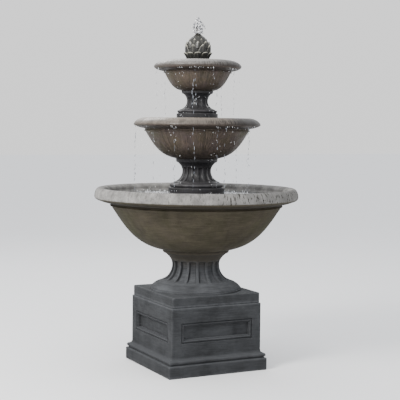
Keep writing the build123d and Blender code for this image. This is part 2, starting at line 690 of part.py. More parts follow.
def intake_cover():
    """Slotted intake box that pulls off the front of the pump."""
    back = VOLUTE_FRONT + FACE_GAP
    box = housing_block(back, INTAKE_FRONT)
    inside = block((back, -PUMP_WIDTH / 2 + INTAKE_WALL, PUMP_BOTTOM + INTAKE_WALL),
                   (INTAKE_FRONT - INTAKE_WALL, PUMP_WIDTH / 2 - INTAKE_WALL,
                    PUMP_BOTTOM + PUMP_HEIGHT - INTAKE_WALL))
    box -= fillet(inside.edges().filter_by(Axis.X), PUMP_EDGE - INTAKE_WALL)
    pitch = (PUMP_HEIGHT - 2 * PUMP_EDGE) / INTAKE_SLOTS
    for number in range(INTAKE_SLOTS):
        z = PUMP_BOTTOM + PUMP_EDGE + (number + 0.5) * pitch
        box -= block((back + 6, -PUMP_WIDTH, z - pitch * 0.25),
                     (INTAKE_FRONT - 6, PUMP_WIDTH, z + pitch * 0.25))
    pin = on_rotor_axis(INTAKE_FRONT, rod(2.5, DIAL_THICKNESS, along="X"))
    return box + pin


def foam_filter():
    """Foam block inside the intake cover."""
    gap = INTAKE_WALL + 0.5
    return block((VOLUTE_FRONT + FACE_GAP + 1, -PUMP_WIDTH / 2 + gap, PUMP_BOTTOM + gap + 3),
                 (INTAKE_FRONT - gap, PUMP_WIDTH / 2 - gap, PUMP_BOTTOM + PUMP_HEIGHT - gap - 3))


def flow_dial():
    """Dial on the intake cover's pin, with a grip across it."""
    disc = rod(DIAL_RADIUS, DIAL_THICKNESS - 3, along="X")
    grip = block((0, -2, -DIAL_RADIUS + 1), (DIAL_THICKNESS, 2, DIAL_RADIUS - 1))
    dial = disc + grip - rod(2.5 + RUNNING_GAP, DIAL_THICKNESS, along="X")
    return on_rotor_axis(INTAKE_FRONT + FACE_GAP, dial)


def pump_feet():
    """Four rubber suction cups under the pump."""
    cup = turned([(0, 1.5), (PUMP_FOOT_RADIUS - 2, 0), (PUMP_FOOT_RADIUS, 0), (3.5, 7),
                  (3.5, PUMP_FOOT_HEIGHT), (0, PUMP_FOOT_HEIGHT)], MAIN_FLOOR)
    y = PUMP_WIDTH / 2 - PUMP_FOOT_RADIUS - 1
    return [Pos(x, side * y, 0) * cup
            for x in (MOTOR_BACK + PUMP_FOOT_RADIUS + 2, VOLUTE_BACK - 5) for side in (-1, 1)]


def cord_gland():
    """Gland at the back of the motor where the supply cord goes in."""
    stub = rod(GLAND_RADIUS, GLAND_LENGTH, along="X") - rod(DRAIN_CORD_RADIUS, GLAND_LENGTH / 2,
                                                            along="X")
    return on_rotor_axis(MOTOR_BACK - GLAND_LENGTH, stub)


def hose_barb():
    """Barbed spigot on the outlet boss, with a hexagonal collar."""
    collar = extrude(RegularPolygon(BOSS_RADIUS, 6), amount=COLLAR_HEIGHT)
    spigot = Pos(0, 0, COLLAR_HEIGHT) * rod(HOSE_BORE_RADIUS, BARB_LENGTH)
    water = rod(HOSE_BORE_RADIUS - 1.5, COLLAR_HEIGHT + BARB_LENGTH)
    return Pos(0, 0, BOSS_TOP) * (collar + spigot - water)


# ---------------------------------------------------------------- write every node
os.makedirs("parts", exist_ok=True)
write("square_base", square_base())
write("lower_pedestal", lower_pedestal())
write("main_bowl", main_bowl())
write("drain_stopper", drain_stopper())
write("pump_riser", pump_riser())
write("middle_pedestal", pedestal(MIDDLE_PEDESTAL, MIDDLE_PEDESTAL_FOOT))
write("middle_bowl", middle_bowl())
write("middle_stopper", stopper(MIDDLE_BOWL.bore_radius, HOSE_RADIUS, UPPER_PEDESTAL_FOOT))
write("upper_pedestal", pedestal(UPPER_PEDESTAL, UPPER_PEDESTAL_FOOT))
write("top_bowl", top_bowl())
write("top_stopper", stopper(TOP_BOWL.bore_radius, PIPE_RADIUS, FINIAL_FOOT))
write("finial", finial())
write("copper_pipe", copper_pipe())
write("nozzle", nozzle())
write("riser_hose", riser_hose())
write("hose_clamp", hose_clamp())
write("hose_barb", hose_barb())
write("pump_motor", pump_motor())
write("cover_seal", seal_ring())
write("volute_screws", *volute_screws())
write("volute_cover", volute_cover())
write("impeller", impeller())
write("impeller_shaft", impeller_shaft())
write("shaft_bushes", *shaft_bushes())
write("intake_cover", intake_cover())
write("foam_filter", foam_filter())
write("flow_dial", flow_dial())
write("pump_feet", *pump_feet())
write("cord_gland", cord_gland())
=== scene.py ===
"""Looks for a three-tier cast-stone garden fountain, laid out as an add-on.

Turned stone is made by one Geometry Nodes tree from an outline for each piece, the square base by a
mitred section with sunk panels, and the artichoke, its leaves, the drips and the spray by instancing.
Heights and radii in outlines are in millimetres; everything else is in metres.
"""

import math
import random

import bmesh
import bpy
import numpy as np
from bpy.props import FloatProperty, FloatVectorProperty, IntProperty, PointerProperty
from mathutils import Matrix, Vector


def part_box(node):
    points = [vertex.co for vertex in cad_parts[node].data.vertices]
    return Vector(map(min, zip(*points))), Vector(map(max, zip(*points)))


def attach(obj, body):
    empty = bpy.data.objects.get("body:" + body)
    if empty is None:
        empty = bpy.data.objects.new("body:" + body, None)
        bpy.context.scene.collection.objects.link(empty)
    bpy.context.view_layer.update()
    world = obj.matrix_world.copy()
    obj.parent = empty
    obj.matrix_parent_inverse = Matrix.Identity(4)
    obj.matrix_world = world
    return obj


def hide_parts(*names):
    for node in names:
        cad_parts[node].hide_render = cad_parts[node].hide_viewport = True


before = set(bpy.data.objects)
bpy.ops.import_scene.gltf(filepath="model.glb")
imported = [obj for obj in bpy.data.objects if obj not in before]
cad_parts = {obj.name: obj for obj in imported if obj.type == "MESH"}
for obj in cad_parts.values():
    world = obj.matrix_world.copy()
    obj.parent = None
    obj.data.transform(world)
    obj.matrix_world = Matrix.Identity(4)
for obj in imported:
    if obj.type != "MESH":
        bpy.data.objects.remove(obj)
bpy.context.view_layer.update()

bl_info = {
    "name": "Garden Fountain",
    "version": (1, 0, 0),
    "blender": (4, 5, 0),
    "location": "View3D > Sidebar > Fountain",
    "description": "Builds the stone, water and fittings of a tiered garden fountain",
    "category": "Object",
}

MM = 0.001
FINISH = "fountain "

WATER_INDEX = 1.33
STONE_INDEX = 1.5
# Level direction to the side turned from the key light: stone facing it gets painted shade.
SHADE_SIDE = (0.894, -0.447, 0.0)
# Direction of the key light: points of the finial's leaves that face it get a painted highlight.
KEY_LIGHT_FACING = (-0.62, -0.42, 0.66)
BASE_BORE = 0.086
BASE_FACE = 0.116
PANEL_MIDDLE = 0.2365
PANEL_STEPS = (0.0, 0.002, 0.0065, 0.0085, 0.0125, 0.0165, 0.0195, 0.0225)
DRAIN_HOLE = 0.016
SLAB = 57.0


def height_of(node, top=False):
    """Lowest or highest level of a CAD node, in millimetres."""
    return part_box(node)[1 if top else 0].z / MM


# ------------------------------------------------------------------ settings
def length(name, default, description):
    """A length property, in metres."""
    return FloatProperty(name=name, default=default, description=description, unit="LENGTH", precision=4)


def colour(name, default, description):
    """A colour property."""
    return FloatVectorProperty(name=name, default=default, description=description, subtype="COLOR",
                               size=3, min=0.0, max=1.0)


class FountainStone(bpy.types.PropertyGroup):
    """Sizes of the stone's making and wear."""

    sides: IntProperty(name="Sides", default=304, min=64, description="Facets round a turned piece")
    edge_round: length("Edge rounding", 0.0018, "How far a sharp edge has worn back")
    unevenness: length("Unevenness", 0.0009, "Hand-cast unevenness of a surface")
    flute_depth: FloatProperty(name="Flute depth", default=0.115, description="Depth as a share of radius")
    panel_groove: length("Panel groove", 0.0075, "Depth of the groove round a panel's moulding")
    panel_depth: length("Panel depth", 0.021, "Depth of a sunk panel")


class FountainWater(bpy.types.PropertyGroup):
    """Levels and quantities of the water."""

    main_level: length("Main level", 0.962, "Water level in the main bowl")
    ripple: length("Ripple height", 0.0035, "Height of the ripples in the main bowl")
    jet_top: length("Jet top", 1.958, "Top of the jet above the nozzle")
    drips: IntProperty(name="Drips", default=64, min=0, description="Drips that hang under one rim")
    drops: IntProperty(name="Drops", default=150, min=0, description="Falling drops under one rim")
    seed: IntProperty(name="Seed", default=7, description="Seed of every random choice in the water")


class FountainColours(bpy.types.PropertyGroup):
    """Base colours of the finishes."""

    charcoal: colour("Charcoal stone", (0.031, 0.0325, 0.035), "Base and lower pedestal")
    olive: colour("Olive stone", (0.044, 0.037, 0.026), "Main bowl")
    brown: colour("Brown stone", (0.056, 0.041, 0.032), "Upper bowls")
    wet_black: colour("Wet dark stone", (0.0125, 0.012, 0.0125), "Upper pedestals")
    bronze: colour("Green-brown stone", (0.016, 0.0155, 0.013), "Finial")
    pale: colour("Weathered pale stone", (0.228, 0.223, 0.214), "Rims")


class FountainCamera(bpy.types.PropertyGroup):
    """Where the picture is taken from."""

    distance: length("Distance", 5.9935, "Level distance from the fountain's axis")
    height: length("Height", 1.3522, "Height above the ground")
    azimuth: FloatProperty(name="Azimuth", default=-26.54, description="Degrees round from the front")
    heading: FloatProperty(name="Heading", default=-26.736, description="Direction it looks, in degrees")
    pitch: FloatProperty(name="Pitch", default=3.978, description="Degrees it looks down")
    roll: FloatProperty(name="Roll", default=0.6, description="Degrees it leans")
    lens: FloatProperty(name="Lens", default=95.86, description="Focal length in millimetres")


def settings(group):
    """One of the scene's setting groups."""
    return getattr(bpy.context.scene, "fountain_" + group)


# ------------------------------------------------------------------ node trees
def wire(tree, value, socket):
    """Links a socket to an input, or sets the input's value."""
    if isinstance(value, bpy.types.NodeSocket):
        tree.links.new(value, socket)
    elif isinstance(value, bpy.types.Node):
        tree.links.new(value.outputs[0], socket)
    else:
        socket.default_value = value


def add(tree, kind, inputs=(), **options):
    """Adds a node, sets its options, and wires its inputs by name or number."""
    node = tree.nodes.new(kind)
    for key, value in options.items():
        setattr(node, key, value)
    for key, value in dict(inputs).items():
        wire(tree, value, node.inputs[key])
    return node


def maths(tree, operation, a, b=None, c=None):
    """A Math node's output."""
    inputs = {i: v for i, v in enumerate((a, b, c)) if v is not None}
    return add(tree, "ShaderNodeMath", inputs, operation=operation).outputs[0]


def vector_maths(tree, operation, a, b=None):
    """A Vector Math node's output."""
    inputs = {i: v for i, v in enumerate((a, b)) if v is not None}
    node = add(tree, "ShaderNodeVectorMath", inputs, operation=operation)
    return node.outputs["Value" if operation in ("LENGTH", "DOT_PRODUCT") else "Vector"]


def times(tree, a, b):
    """A product."""
    return maths(tree, "MULTIPLY", a, b)


def plus(tree, a, b):
    """A sum."""
    return maths(tree, "ADD", a, b)


def minus(tree, a, b):
    """A difference."""
    return maths(tree, "SUBTRACT", a, b)


def split(tree, vector):
    """A vector's three parts."""
    return add(tree, "ShaderNodeSeparateXYZ", {0: vector}).outputs


def join(tree, x, y, z=0.0):
    """A vector of three parts."""
    return add(tree, "ShaderNodeCombineXYZ", {0: x, 1: y, 2: z}).outputs[0]


def polar(tree, radius, angle, z):
    """A vector from a radius, an angle about Z and a height."""
    return join(tree, times(tree, radius, maths(tree, "COSINE", angle)),
                times(tree, radius, maths(tree, "SINE", angle)), z)


def mask_of(tree, name):
    """The value of a mask that the mesh carries."""
    return add(tree, "ShaderNodeAttribute", attribute_name=name).outputs["Fac"]


def clamped(tree, value):
    """A value kept from 0 to 1."""
    return add(tree, "ShaderNodeClamp", {0: value}).outputs[0]


def remap(tree, value, low, high, to_low=0.0, to_high=1.0, smooth=False):
    """A Map Range node's output."""
    node = add(tree, "ShaderNodeMapRange",
               {"Value": value, "From Min": low, "From Max": high, "To Min": to_low, "To Max": to_high},
               interpolation_type="SMOOTHSTEP" if smooth else "LINEAR")
    return node.outputs[0]


def mix(tree, factor, a, b, blend="MIX"):
    """A colour mix's output."""
    node = tree.nodes.new("ShaderNodeMix")
    node.data_type = "RGBA"
    node.blend_type = blend
    wire(tree, factor, node.inputs[0])
    for value, socket in ((a, node.inputs[6]), (b, node.inputs[7])):
        wire(tree, (*value, 1.0) if isinstance(value, tuple) and len(value) == 3 else value, socket)
    return node.outputs[2]


def noise(tree, vector, scale, detail=4.0, roughness=0.55, distortion=0.0):
    """A noise texture's value."""
    return add(tree, "ShaderNodeTexNoise",
               {"Vector": vector, "Scale": scale, "Detail": detail, "Roughness": roughness,
                "Distortion": distortion}).outputs[0]


def new_group(name, inputs, outputs, kind="ShaderNodeTree"):
    """A node group with its inputs and outputs; gives the tree and its two end nodes."""
    tree = bpy.data.node_groups.new(name, kind)
    for label, socket_type, default in inputs:
        socket = tree.interface.new_socket(name=label, in_out="INPUT", socket_type=socket_type)
        if default is not None:
            socket.default_value = default
    for label, socket_type in outputs:
        tree.interface.new_socket(name=label, in_out="OUTPUT", socket_type=socket_type)
    return tree, tree.nodes.new("NodeGroupInput").outputs, tree.nodes.new("NodeGroupOutput").inputs


def use(tree, group, inputs=()):
    """Places a shader node group and gives its outputs."""
    node = tree.nodes.new("ShaderNodeGroup")
    node.node_tree = bpy.data.node_groups[group]
    for key, value in dict(inputs).items():
        wire(tree, value, node.inputs[key])
    return node.outputs


# ------------------------------------------------------------------ shared shader groups
FLOAT, VECTOR, COLOUR = "NodeSocketFloat", "NodeSocketVector", "NodeSocketColor"


def make_grain_group():
    """Cast stone's sand and pits: a fleck value, a dark pit mask and a height."""
    tree, given, out = new_group(
        "Stone Grain", [("Vector", VECTOR, None), ("Grain", FLOAT, 260.0), ("Pits", FLOAT, 0.5)],
        [("Fleck", FLOAT), ("Pit", FLOAT), ("Height", FLOAT)])
    sand = noise(tree, given["Vector"], given["Grain"], 5.0, 0.7)
    coarse = noise(tree, given["Vector"], times(tree, given["Grain"], 0.22), 3.0, 0.6)
    cells = add(tree, "ShaderNodeTexVoronoi",
                {"Vector": given["Vector"], "Scale": times(tree, given["Grain"], 0.3)}).outputs[0]
    hole = remap(tree, cells, 0.05, 0.26, 1.0, 0.0, smooth=True)
    chosen = remap(tree, coarse, 0.52, 0.62, 0.0, 1.0, smooth=True)
    pit = times(tree, times(tree, hole, chosen), given["Pits"])
    height = minus(tree, plus(tree, times(tree, sand, 0.5), coarse), pit)
    wire(tree, plus(tree, times(tree, sand, 0.65), times(tree, coarse, 0.35)),
         out["Fleck"])
    wire(tree, pit, out["Pit"])
    wire(tree, height, out["Height"])


def make_streak_group():
    """Runs of water and grime down a turned or flat surface, as a mask."""
    tree, given, out = new_group(
        "Weather Streaks",
        [("Vector", VECTOR, None), ("Fineness", FLOAT, 60.0), ("Stretch", FLOAT, 0.08),
         ("Coverage", FLOAT, 0.5), ("Softness", FLOAT, 0.12), ("Shift", FLOAT, 0.0)],
        [("Mask", FLOAT), ("Soft", FLOAT)])
    parts = split(tree, given["Vector"])
    around = join(tree, parts[0], parts[1])
    facing = vector_maths(tree, "NORMALIZE", around)
    radius = vector_maths(tree, "LENGTH", around)
    flat = split(tree, facing)
    wander = noise(tree, given["Vector"], 9.0, 2.0)
    rise = times(tree, plus(tree, parts[2], times(tree, radius, 0.35)),
                 given["Stretch"])
    rise = plus(tree, rise, times(tree, wander, 0.012))
    place = join(tree, times(tree, flat[0], 0.4), times(tree, flat[1], 0.4), plus(tree, rise, given["Shift"]))
    value = noise(tree, place, given["Fineness"], 6.0, 0.62, 0.15)
    edge = minus(tree, 0.75, times(tree, given["Coverage"], 0.5))
    wire(tree, remap(tree, value, edge, plus(tree, edge, given["Softness"]), smooth=True), out["Mask"])
    wire(tree, value, out["Soft"])


def make_wear_and_shade_group():
    """Edges lightened by wear and by painted highlight, and hollows darkened by grime and painted shade, from the
    two masks that each stone mesh carries.
    """
    tree, given, out = new_group(
        "Edge Wear", [("Vector", VECTOR, None), ("Wear", FLOAT, 0.6), ("Dirt", FLOAT, 0.6)],
        [("Worn", FLOAT), ("Dirty", FLOAT)])
    edge = mask_of(tree, "edge")
    breakup = remap(tree, noise(tree, given["Vector"], 34.0, 6.0, 0.7), 0.34, 0.62, 0.3, 1.0)
    soft = remap(tree, noise(tree, given["Vector"], 12.0, 4.0), 0.3, 0.7, 0.55, 1.0)
    # The hollow mask darkens recesses: partly grime, partly painted shade in corners and under lips.
    hollow = times(tree, mask_of(tree, "hollow"), given["Dirt"])
    # The groove mask is painted shade on the flute walls turned from the key light.
    hollow = maths(tree, "MAXIMUM", hollow, mask_of(tree, "groove"))
    worn = times(tree, times(tree, edge, breakup), given["Wear"])
    grime_and_shade = times(tree, hollow, soft)
    wire(tree, clamped(tree, worn), out["Worn"])
    wire(tree, clamped(tree, grime_and_shade), out["Dirty"])


def make_mottle_group():
    """Broad cloudiness of a cast surface, with faint level brushing, as a value about 0.5."""
    tree, given, out = new_group(
        "Cast Mottle", [("Vector", VECTOR, None), ("Scale", FLOAT, 7.0), ("Brushing", FLOAT, 0.4)],
        [("Tone", FLOAT), ("Brush", FLOAT)])
    cloud = noise(tree, given["Vector"], given["Scale"], 7.0, 0.62, 0.4)
    level = vector_maths(tree, "MULTIPLY", given["Vector"], (1.3, 1.3, 17.0))
    brush = noise(tree, level, 9.0, 6.0, 0.7, 0.1)
    share = times(tree, minus(tree, brush, 0.5), given["Brushing"])
    wire(tree, plus(tree, cloud, share), out["Tone"])
    wire(tree, brush, out["Brush"])


def make_moulded_group():
    """Fine spark-erosion grain and faint scuffs of moulded plastic and rubber."""
    tree, given, out = new_group(
        "Moulded Grain", [("Vector", VECTOR, None), ("Grain", FLOAT, 900.0)],
        [("Height", FLOAT), ("Scuff", FLOAT), ("Silt", FLOAT)])
    wire(tree, noise(tree, given["Vector"], given["Grain"], 3.0, 0.6), out["Height"])
    stretched = vector_maths(tree, "MULTIPLY", given["Vector"], (1.0, 4.0, 9.0))
    wire(tree, remap(tree, noise(tree, stretched, 55.0, 6.0, 0.75), 0.5, 0.75), out["Scuff"])
    wire(tree, remap(tree, noise(tree, given["Vector"], 24.0, 5.0), 0.45, 0.7), out["Silt"])


# ------------------------------------------------------------------ materials
def new_material(name, **fixed):
    """A material with one Principled shader; gives its tree, shader and Object coordinates."""
    made = bpy.data.materials.new(FINISH + name)
    made.use_nodes = True
    tree = made.node_tree
    shader = tree.nodes["Principled BSDF"]
    for key, value in fixed.items():
        shader.inputs[key.replace("_", " ")].default_value = value
    return tree, shader, tree.nodes.new("ShaderNodeTexCoord").outputs["Object"]


def bumped(tree, shader, height, distance, strength=1.0, normal=None):
    """Feeds a height through a Bump node to the shader's normal."""
    inputs = {"Height": height, "Distance": distance, "Strength": strength}
    if normal is not None:
        inputs["Normal"] = normal
    node = add(tree, "ShaderNodeBump", inputs)
    wire(tree, node.outputs[0], shader.inputs["Normal"])
    return node.outputs[0]


def scaled(rgb, factor):
    """A colour made lighter or darker."""
    return tuple(min(1.0, c * factor) for c in rgb)


def toned(rgb, *factors):
    """A colour with each part made lighter or darker by its own factor."""
    return tuple(c * factor for c, factor in zip(rgb, factors))


def streaks(tree, place, fineness, stretch, coverage, shift, softness=0.12):
    """Places the streaks with their values."""
    return use(tree, "Weather Streaks", {"Vector": place, "Fineness": fineness, "Stretch": stretch,
                                         "Coverage": coverage, "Softness": softness, "Shift": shift})


def stone_material(name, rgb, wet=0.0, pale_from=None, streak=0.4, moss=0.0, brushing=0.4, wear=0.5,
                   dirt=0.6, pale=None, grain=260.0, pale_streak=0.5, wear_and_highlight_tone=2.6, rim_light_and_shade=0.0, tint=None,
                   sunlit=0.0, lit_tips=False, under=0.6, side_shade=0.3, shade=0.016):
    """Cast stone. pale_from is the height in metres above which a rim has weathered pale."""
    tree, shader, place = new_material(name, IOR=STONE_INDEX)
    shader.inputs["Specular IOR Level"].default_value = 0.14 + 0.2 * wet
    sand = use(tree, "Stone Grain", {"Vector": place, "Grain": grain, "Pits": 0.7})
    mottle = use(tree, "Cast Mottle", {"Vector": place, "Brushing": brushing})
    edges = use(tree, "Edge Wear", {"Vector": place, "Wear": wear, "Dirt": dirt})
    tone = remap(tree, mottle["Tone"], 0.28, 0.72)
    body = mix(tree, tone, scaled(rgb, 0.62), scaled(rgb, 1.42))
    level = split(tree, place)[2]
    facing = tree.nodes.new("ShaderNodeNewGeometry").outputs["Normal"]
    up = split(tree, facing)[2]
    # tint paints a warm reflection and shade from the bowl above onto the top of the piece.
    if tint:
        body = mix(tree, remap(tree, level, tint[0], tint[0] + 0.09, 0.0, 0.9, smooth=True), body, tint[1])
    runs = streaks(tree, place, 30.0, 0.16, streak, 0.0, 0.2)
    light_runs = streaks(tree, place, 70.0, 0.11, streak * 0.8, 3.1)
    body = mix(tree, times(tree, runs["Mask"], 0.6), body, scaled(rgb, 0.42))
    body = mix(tree, times(tree, light_runs["Mask"], 0.4), body, scaled(rgb, 2.0))
    if wet:
        lime = streaks(tree, place, 140.0, 0.16, streak * 0.75, 5.3, 0.03)
        body = mix(tree, times(tree, lime["Mask"], 0.35), body, scaled(rgb, 3.0))
        cloud = remap(tree, noise(tree, place, 17.0, 7.0, 0.72, 0.8), 0.40, 0.62)
        body = mix(tree, times(tree, cloud, 0.5), body, toned(rgb, 1.2, 1.25, 1.7))
    flat = vector_maths(tree, "NORMALIZE", vector_maths(tree, "MULTIPLY", place, (1.0, 1.0, 0.0)))
    side = vector_maths(tree, "DOT_PRODUCT", flat, SHADE_SIDE)
    if moss:
        ends = remap(tree, maths(tree, "ABSOLUTE", side), 0.55, 0.95, 0.35, 1.0)
        green = times(tree, remap(tree, noise(tree, place, 11.0, 6.0, 0.7), 0.40, 0.60, 0.0, moss), ends)
        body = mix(tree, green, body, toned(rgb, 0.8, 1.15, 0.4))
        # Painted shade: the side turned from the key light is darkened, and the opposite edge a little too.
        body = mix(tree, remap(tree, side, 0.3, 1.0, 0.0, side_shade), body, toned(rgb, 0.5, 0.42, 0.3))
        body = mix(tree, remap(tree, side, -0.5, -1.0, 0.0, side_shade), body, toned(rgb, 0.45, 0.5, 0.4))
    # Hollows darkened: grime, and painted shade in recesses and under lips.
    body = mix(tree, edges["Dirty"], body, scaled(rgb, 0.22))
    # Painted shade on faces that turn downwards.
    body = mix(tree, remap(tree, up, -0.6, -0.95, 0.0, under), body, scaled(rgb, 0.4))
    # Painted light on faces that turn upwards.
    body = mix(tree, remap(tree, up, 0.15, 0.95, 0.0, sunlit), body, scaled(rgb, 2.1))
    worn = edges["Worn"]
    # Painted highlight: worn edges count only where they face the key light.
    if lit_tips:
        key_light_side = vector_maths(tree, "DOT_PRODUCT", facing, KEY_LIGHT_FACING)
        worn = times(tree, worn, remap(tree, key_light_side, 0.05, 0.85, 0.06, 1.0))
    # Edges lightened: real wear, and with a strong tone on the finial and wet pedestals a painted wet highlight too.
    body = mix(tree, worn, body, scaled(rgb, wear_and_highlight_tone))
    rough = remap(tree, runs["Soft"], 0.3, 0.7, 0.92 - 0.5 * wet, 0.8 - 0.3 * wet)
    if pale_from is not None:
        above = remap(tree, level, pale_from - 0.004, pale_from + 0.010, smooth=True)
        down = remap(tree, up, -0.75, -0.35, smooth=True)
        rim = times(tree, above, down)
        crisp = streaks(tree, place, 150.0, 0.3, pale_streak, 1.7, 0.04)
        # Painted shadow: a dark band under the rim's lip.
        below = times(tree, remap(tree, level, pale_from - shade, pale_from - shade + 0.006),
                      remap(tree, level, pale_from + 0.004, pale_from - 0.004))
        body = mix(tree, times(tree, below, 0.8), body, scaled(rgb, 0.35))
        outer = remap(tree, vector_maths(tree, "DOT_PRODUCT", flat, facing), -0.25, 0.1)
        # Dark rim streaks grow stronger towards the side turned from the key light: stains with painted shade.
        shade_side_weight = times(tree, remap(tree, side, -0.2, 0.65, 0.3, 1.0, smooth=True), outer)
        blotch = remap(tree, noise(tree, place, 16.0, 6.0, 0.66), 0.36, 0.66)
        chalk = mix(tree, blotch, scaled(pale, 0.62), scaled(pale, 1.3))
        # Painted shade: the rim's pale colour darkens towards the side turned from the key light.
        rim_side_shade = times(tree, remap(tree, side, -0.3, 0.8, 0.0, 0.6), outer)
        chalk = mix(tree, rim_side_shade, chalk, scaled(pale, 0.5))
        stained_and_shaded = mix(tree, times(tree, crisp["Mask"], shade_side_weight), chalk, scaled(rgb, 0.3))
        if rim_light_and_shade:
            # Painted shade on the rim's faces that turn down and on its far side, and a painted highlight on its
            # upward face.
            turned_down_shade = remap(tree, up, 0.80, -0.15, 0.0, 0.85, smooth=True)
            stained_and_shaded = mix(tree, turned_down_shade, stained_and_shaded, scaled(rgb, 0.6))
            stained_and_shaded = mix(tree, remap(tree, up, 0.75, 1.0, 0.0, 0.6), stained_and_shaded, scaled(pale, 1.9))
            far_side_shade = times(tree, remap(tree, side, 0.30, 0.80, smooth=True), rim_light_and_shade * 0.9)
            stained_and_shaded = mix(tree, far_side_shade, stained_and_shaded, scaled(rgb, 0.22))
        body = mix(tree, rim, body, stained_and_shaded)
        rough = minus(tree, rough, times(tree, rim, 0.6 * wet))
    dark_sand = mix(tree, 1.0, body, (0.78, 0.78, 0.78), "MULTIPLY")
    pale_sand = mix(tree, 1.0, body, (1.0, 0.99, 0.97), "MULTIPLY")
    body = mix(tree, remap(tree, sand["Fleck"], 0.36, 0.64), dark_sand, pale_sand)
    body = mix(tree, sand["Pit"], body, scaled(rgb, 0.25))
    wire(tree, body, shader.inputs["Base Color"])
    wire(tree, clamped(tree, rough), shader.inputs["Roughness"])
    if wet:
        film = remap(tree, noise(tree, place, 26.0, 5.0), 0.42, 0.62, 0.02 * wet, 0.45 * wet)
        wire(tree, film, shader.inputs["Coat Weight"])
        shader.inputs["Coat Roughness"].default_value = 0.16
    swell = bumped(tree, shader, mottle["Brush"], 0.0007, 0.7)
    bumped(tree, shader, sand["Height"], 0.0011, 0.75 - 0.3 * wet, swell)


def moulded_material(name, rgb, roughness, grain=900.0, silt=0.3):
    """Moulded plastic or rubber that has stood under water."""
    tree, shader, place = new_material(name)
    skin = use(tree, "Moulded Grain", {"Vector": place, "Grain": grain})
    body = mix(tree, times(tree, skin["Silt"], silt), rgb, (0.10, 0.085, 0.05))
    body = mix(tree, times(tree, skin["Scuff"], 0.25), body, scaled(rgb, 2.4))
    wire(tree, body, shader.inputs["Base Color"])
    wire(tree, remap(tree, skin["Scuff"], 0.0, 1.0, roughness, min(1.0, roughness + 0.25)),
         shader.inputs["Roughness"])
    bumped(tree, shader, skin["Height"], 0.00012, 0.6)


def metal_material(name, rgb, roughness, tarnish, tarnish_share=0.5, brushed=0.0):
    """Metal with tarnish in patches and fine turning or drawing marks."""
    tree, shader, place = new_material(name)
    patches = remap(tree, noise(tree, place, 70.0, 7.0, 0.7), 0.62 - 0.3 * tarnish_share, 0.68)
    fine = vector_maths(tree, "MULTIPLY", place, (1.0, 1.0, 1.0 + 24.0 * brushed))
    lines = noise(tree, fine, 420.0, 4.0, 0.7)
    wire(tree, mix(tree, patches, rgb, tarnish), shader.inputs["Base Color"])
    wire(tree, remap(tree, patches, 0.0, 1.0, 1.0, 0.25), shader.inputs["Metallic"])
    wire(tree, plus(tree, remap(tree, patches, 0.0, 1.0, roughness, 0.72),
                     times(tree, lines, 0.12)), shader.inputs["Roughness"])
    bumped(tree, shader, lines, 0.00006, 0.7)


def foam_material():
    """Open-cell foam."""
    tree, shader, place = new_material("pump_foam", Roughness=0.95)
    cells = add(tree, "ShaderNodeTexVoronoi", {"Vector": place, "Scale": 620.0},
                feature="DISTANCE_TO_EDGE").outputs[0]
    open_cell = remap(tree, cells, 0.02, 0.12)
    wire(tree, mix(tree, open_cell, (0.055, 0.055, 0.06), (0.008, 0.008, 0.009)), shader.inputs["Base Color"])
    bumped(tree, shader, times(tree, open_cell, -1.0), 0.0012)


def pool_material():
    """Still-moving water, with broken foam where the drops land round the pedestal."""
    tree, shader, place = new_material("pool_water", IOR=WATER_INDEX)
    shader.inputs["Transmission Weight"].default_value = 0.5
    flat = vector_maths(tree, "MULTIPLY", place, (1.0, 1.0, 0.0))
    radius = vector_maths(tree, "LENGTH", flat)
    ring = times(tree, remap(tree, radius, 0.16, 0.24, smooth=True),
                 remap(tree, radius, 0.44, 0.30, smooth=True))
    lace = noise(tree, flat, 42.0, 7.0, 0.72, 1.2)
    foam = times(tree, remap(tree, lace, 0.50, 0.60, smooth=True), ring)
    tint = mix(tree, noise(tree, flat, 8.0, 3.0), (0.10, 0.105, 0.11), (0.24, 0.245, 0.25))
    wire(tree, mix(tree, foam, tint, (0.95, 0.96, 0.97)), shader.inputs["Base Color"])
    wire(tree, remap(tree, foam, 0.0, 1.0, 0.06, 0.6), shader.inputs["Roughness"])
    bumped(tree, shader, noise(tree, flat, 60.0, 4.0, 0.6, 0.6), 0.0025, 0.8)


def spray_material():
    """Broken white water and drops."""
    tree, shader, place = new_material("white_water", IOR=WATER_INDEX)
    shader.inputs["Transmission Weight"].default_value = 0.45
    bubbles = noise(tree, place, 170.0, 5.0, 0.75)
    wire(tree, mix(tree, remap(tree, bubbles, 0.35, 0.65), (0.78, 0.81, 0.84), (1.0, 1.0, 1.0)),
         shader.inputs["Base Color"])
    wire(tree, remap(tree, bubbles, 0.3, 0.7, 0.05, 0.28), shader.inputs["Roughness"])
    bumped(tree, shader, bubbles, 0.0015, 0.6)


def jet_material():
    """Water torn into froth: white, and painted dark elsewhere for the dark refraction and reflection of clear
    water.
    """
    tree, shader, place = new_material("jet_water", IOR=WATER_INDEX)
    shader.inputs["Transmission Weight"].default_value = 0.1
    froth = remap(tree, noise(tree, place, 150.0, 4.0, 0.7), 0.46, 0.54)
    # The dark colour is painted refraction and reflection.
    wire(tree, mix(tree, froth, (0.022, 0.026, 0.042), (1.0, 1.0, 1.0)), shader.inputs["Base Color"])
    wire(tree, remap(tree, froth, 0.0, 1.0, 0.06, 0.4), shader.inputs["Roughness"])
    bumped(tree, shader, froth, 0.001, 0.5)


def falling_material():
    """Thin falling water."""
    tree, shader, place = new_material("falling_water", IOR=WATER_INDEX, Roughness=0.12)
    shader.inputs["Transmission Weight"].default_value = 0.55
    wire(tree, mix(tree, noise(tree, place, 90.0, 4.0, 0.7), (0.13, 0.14, 0.16), (0.50, 0.53, 0.58)),
         shader.inputs["Base Color"])


def material(name):
    """A material made before, by name."""
    return bpy.data.materials[FINISH + name]


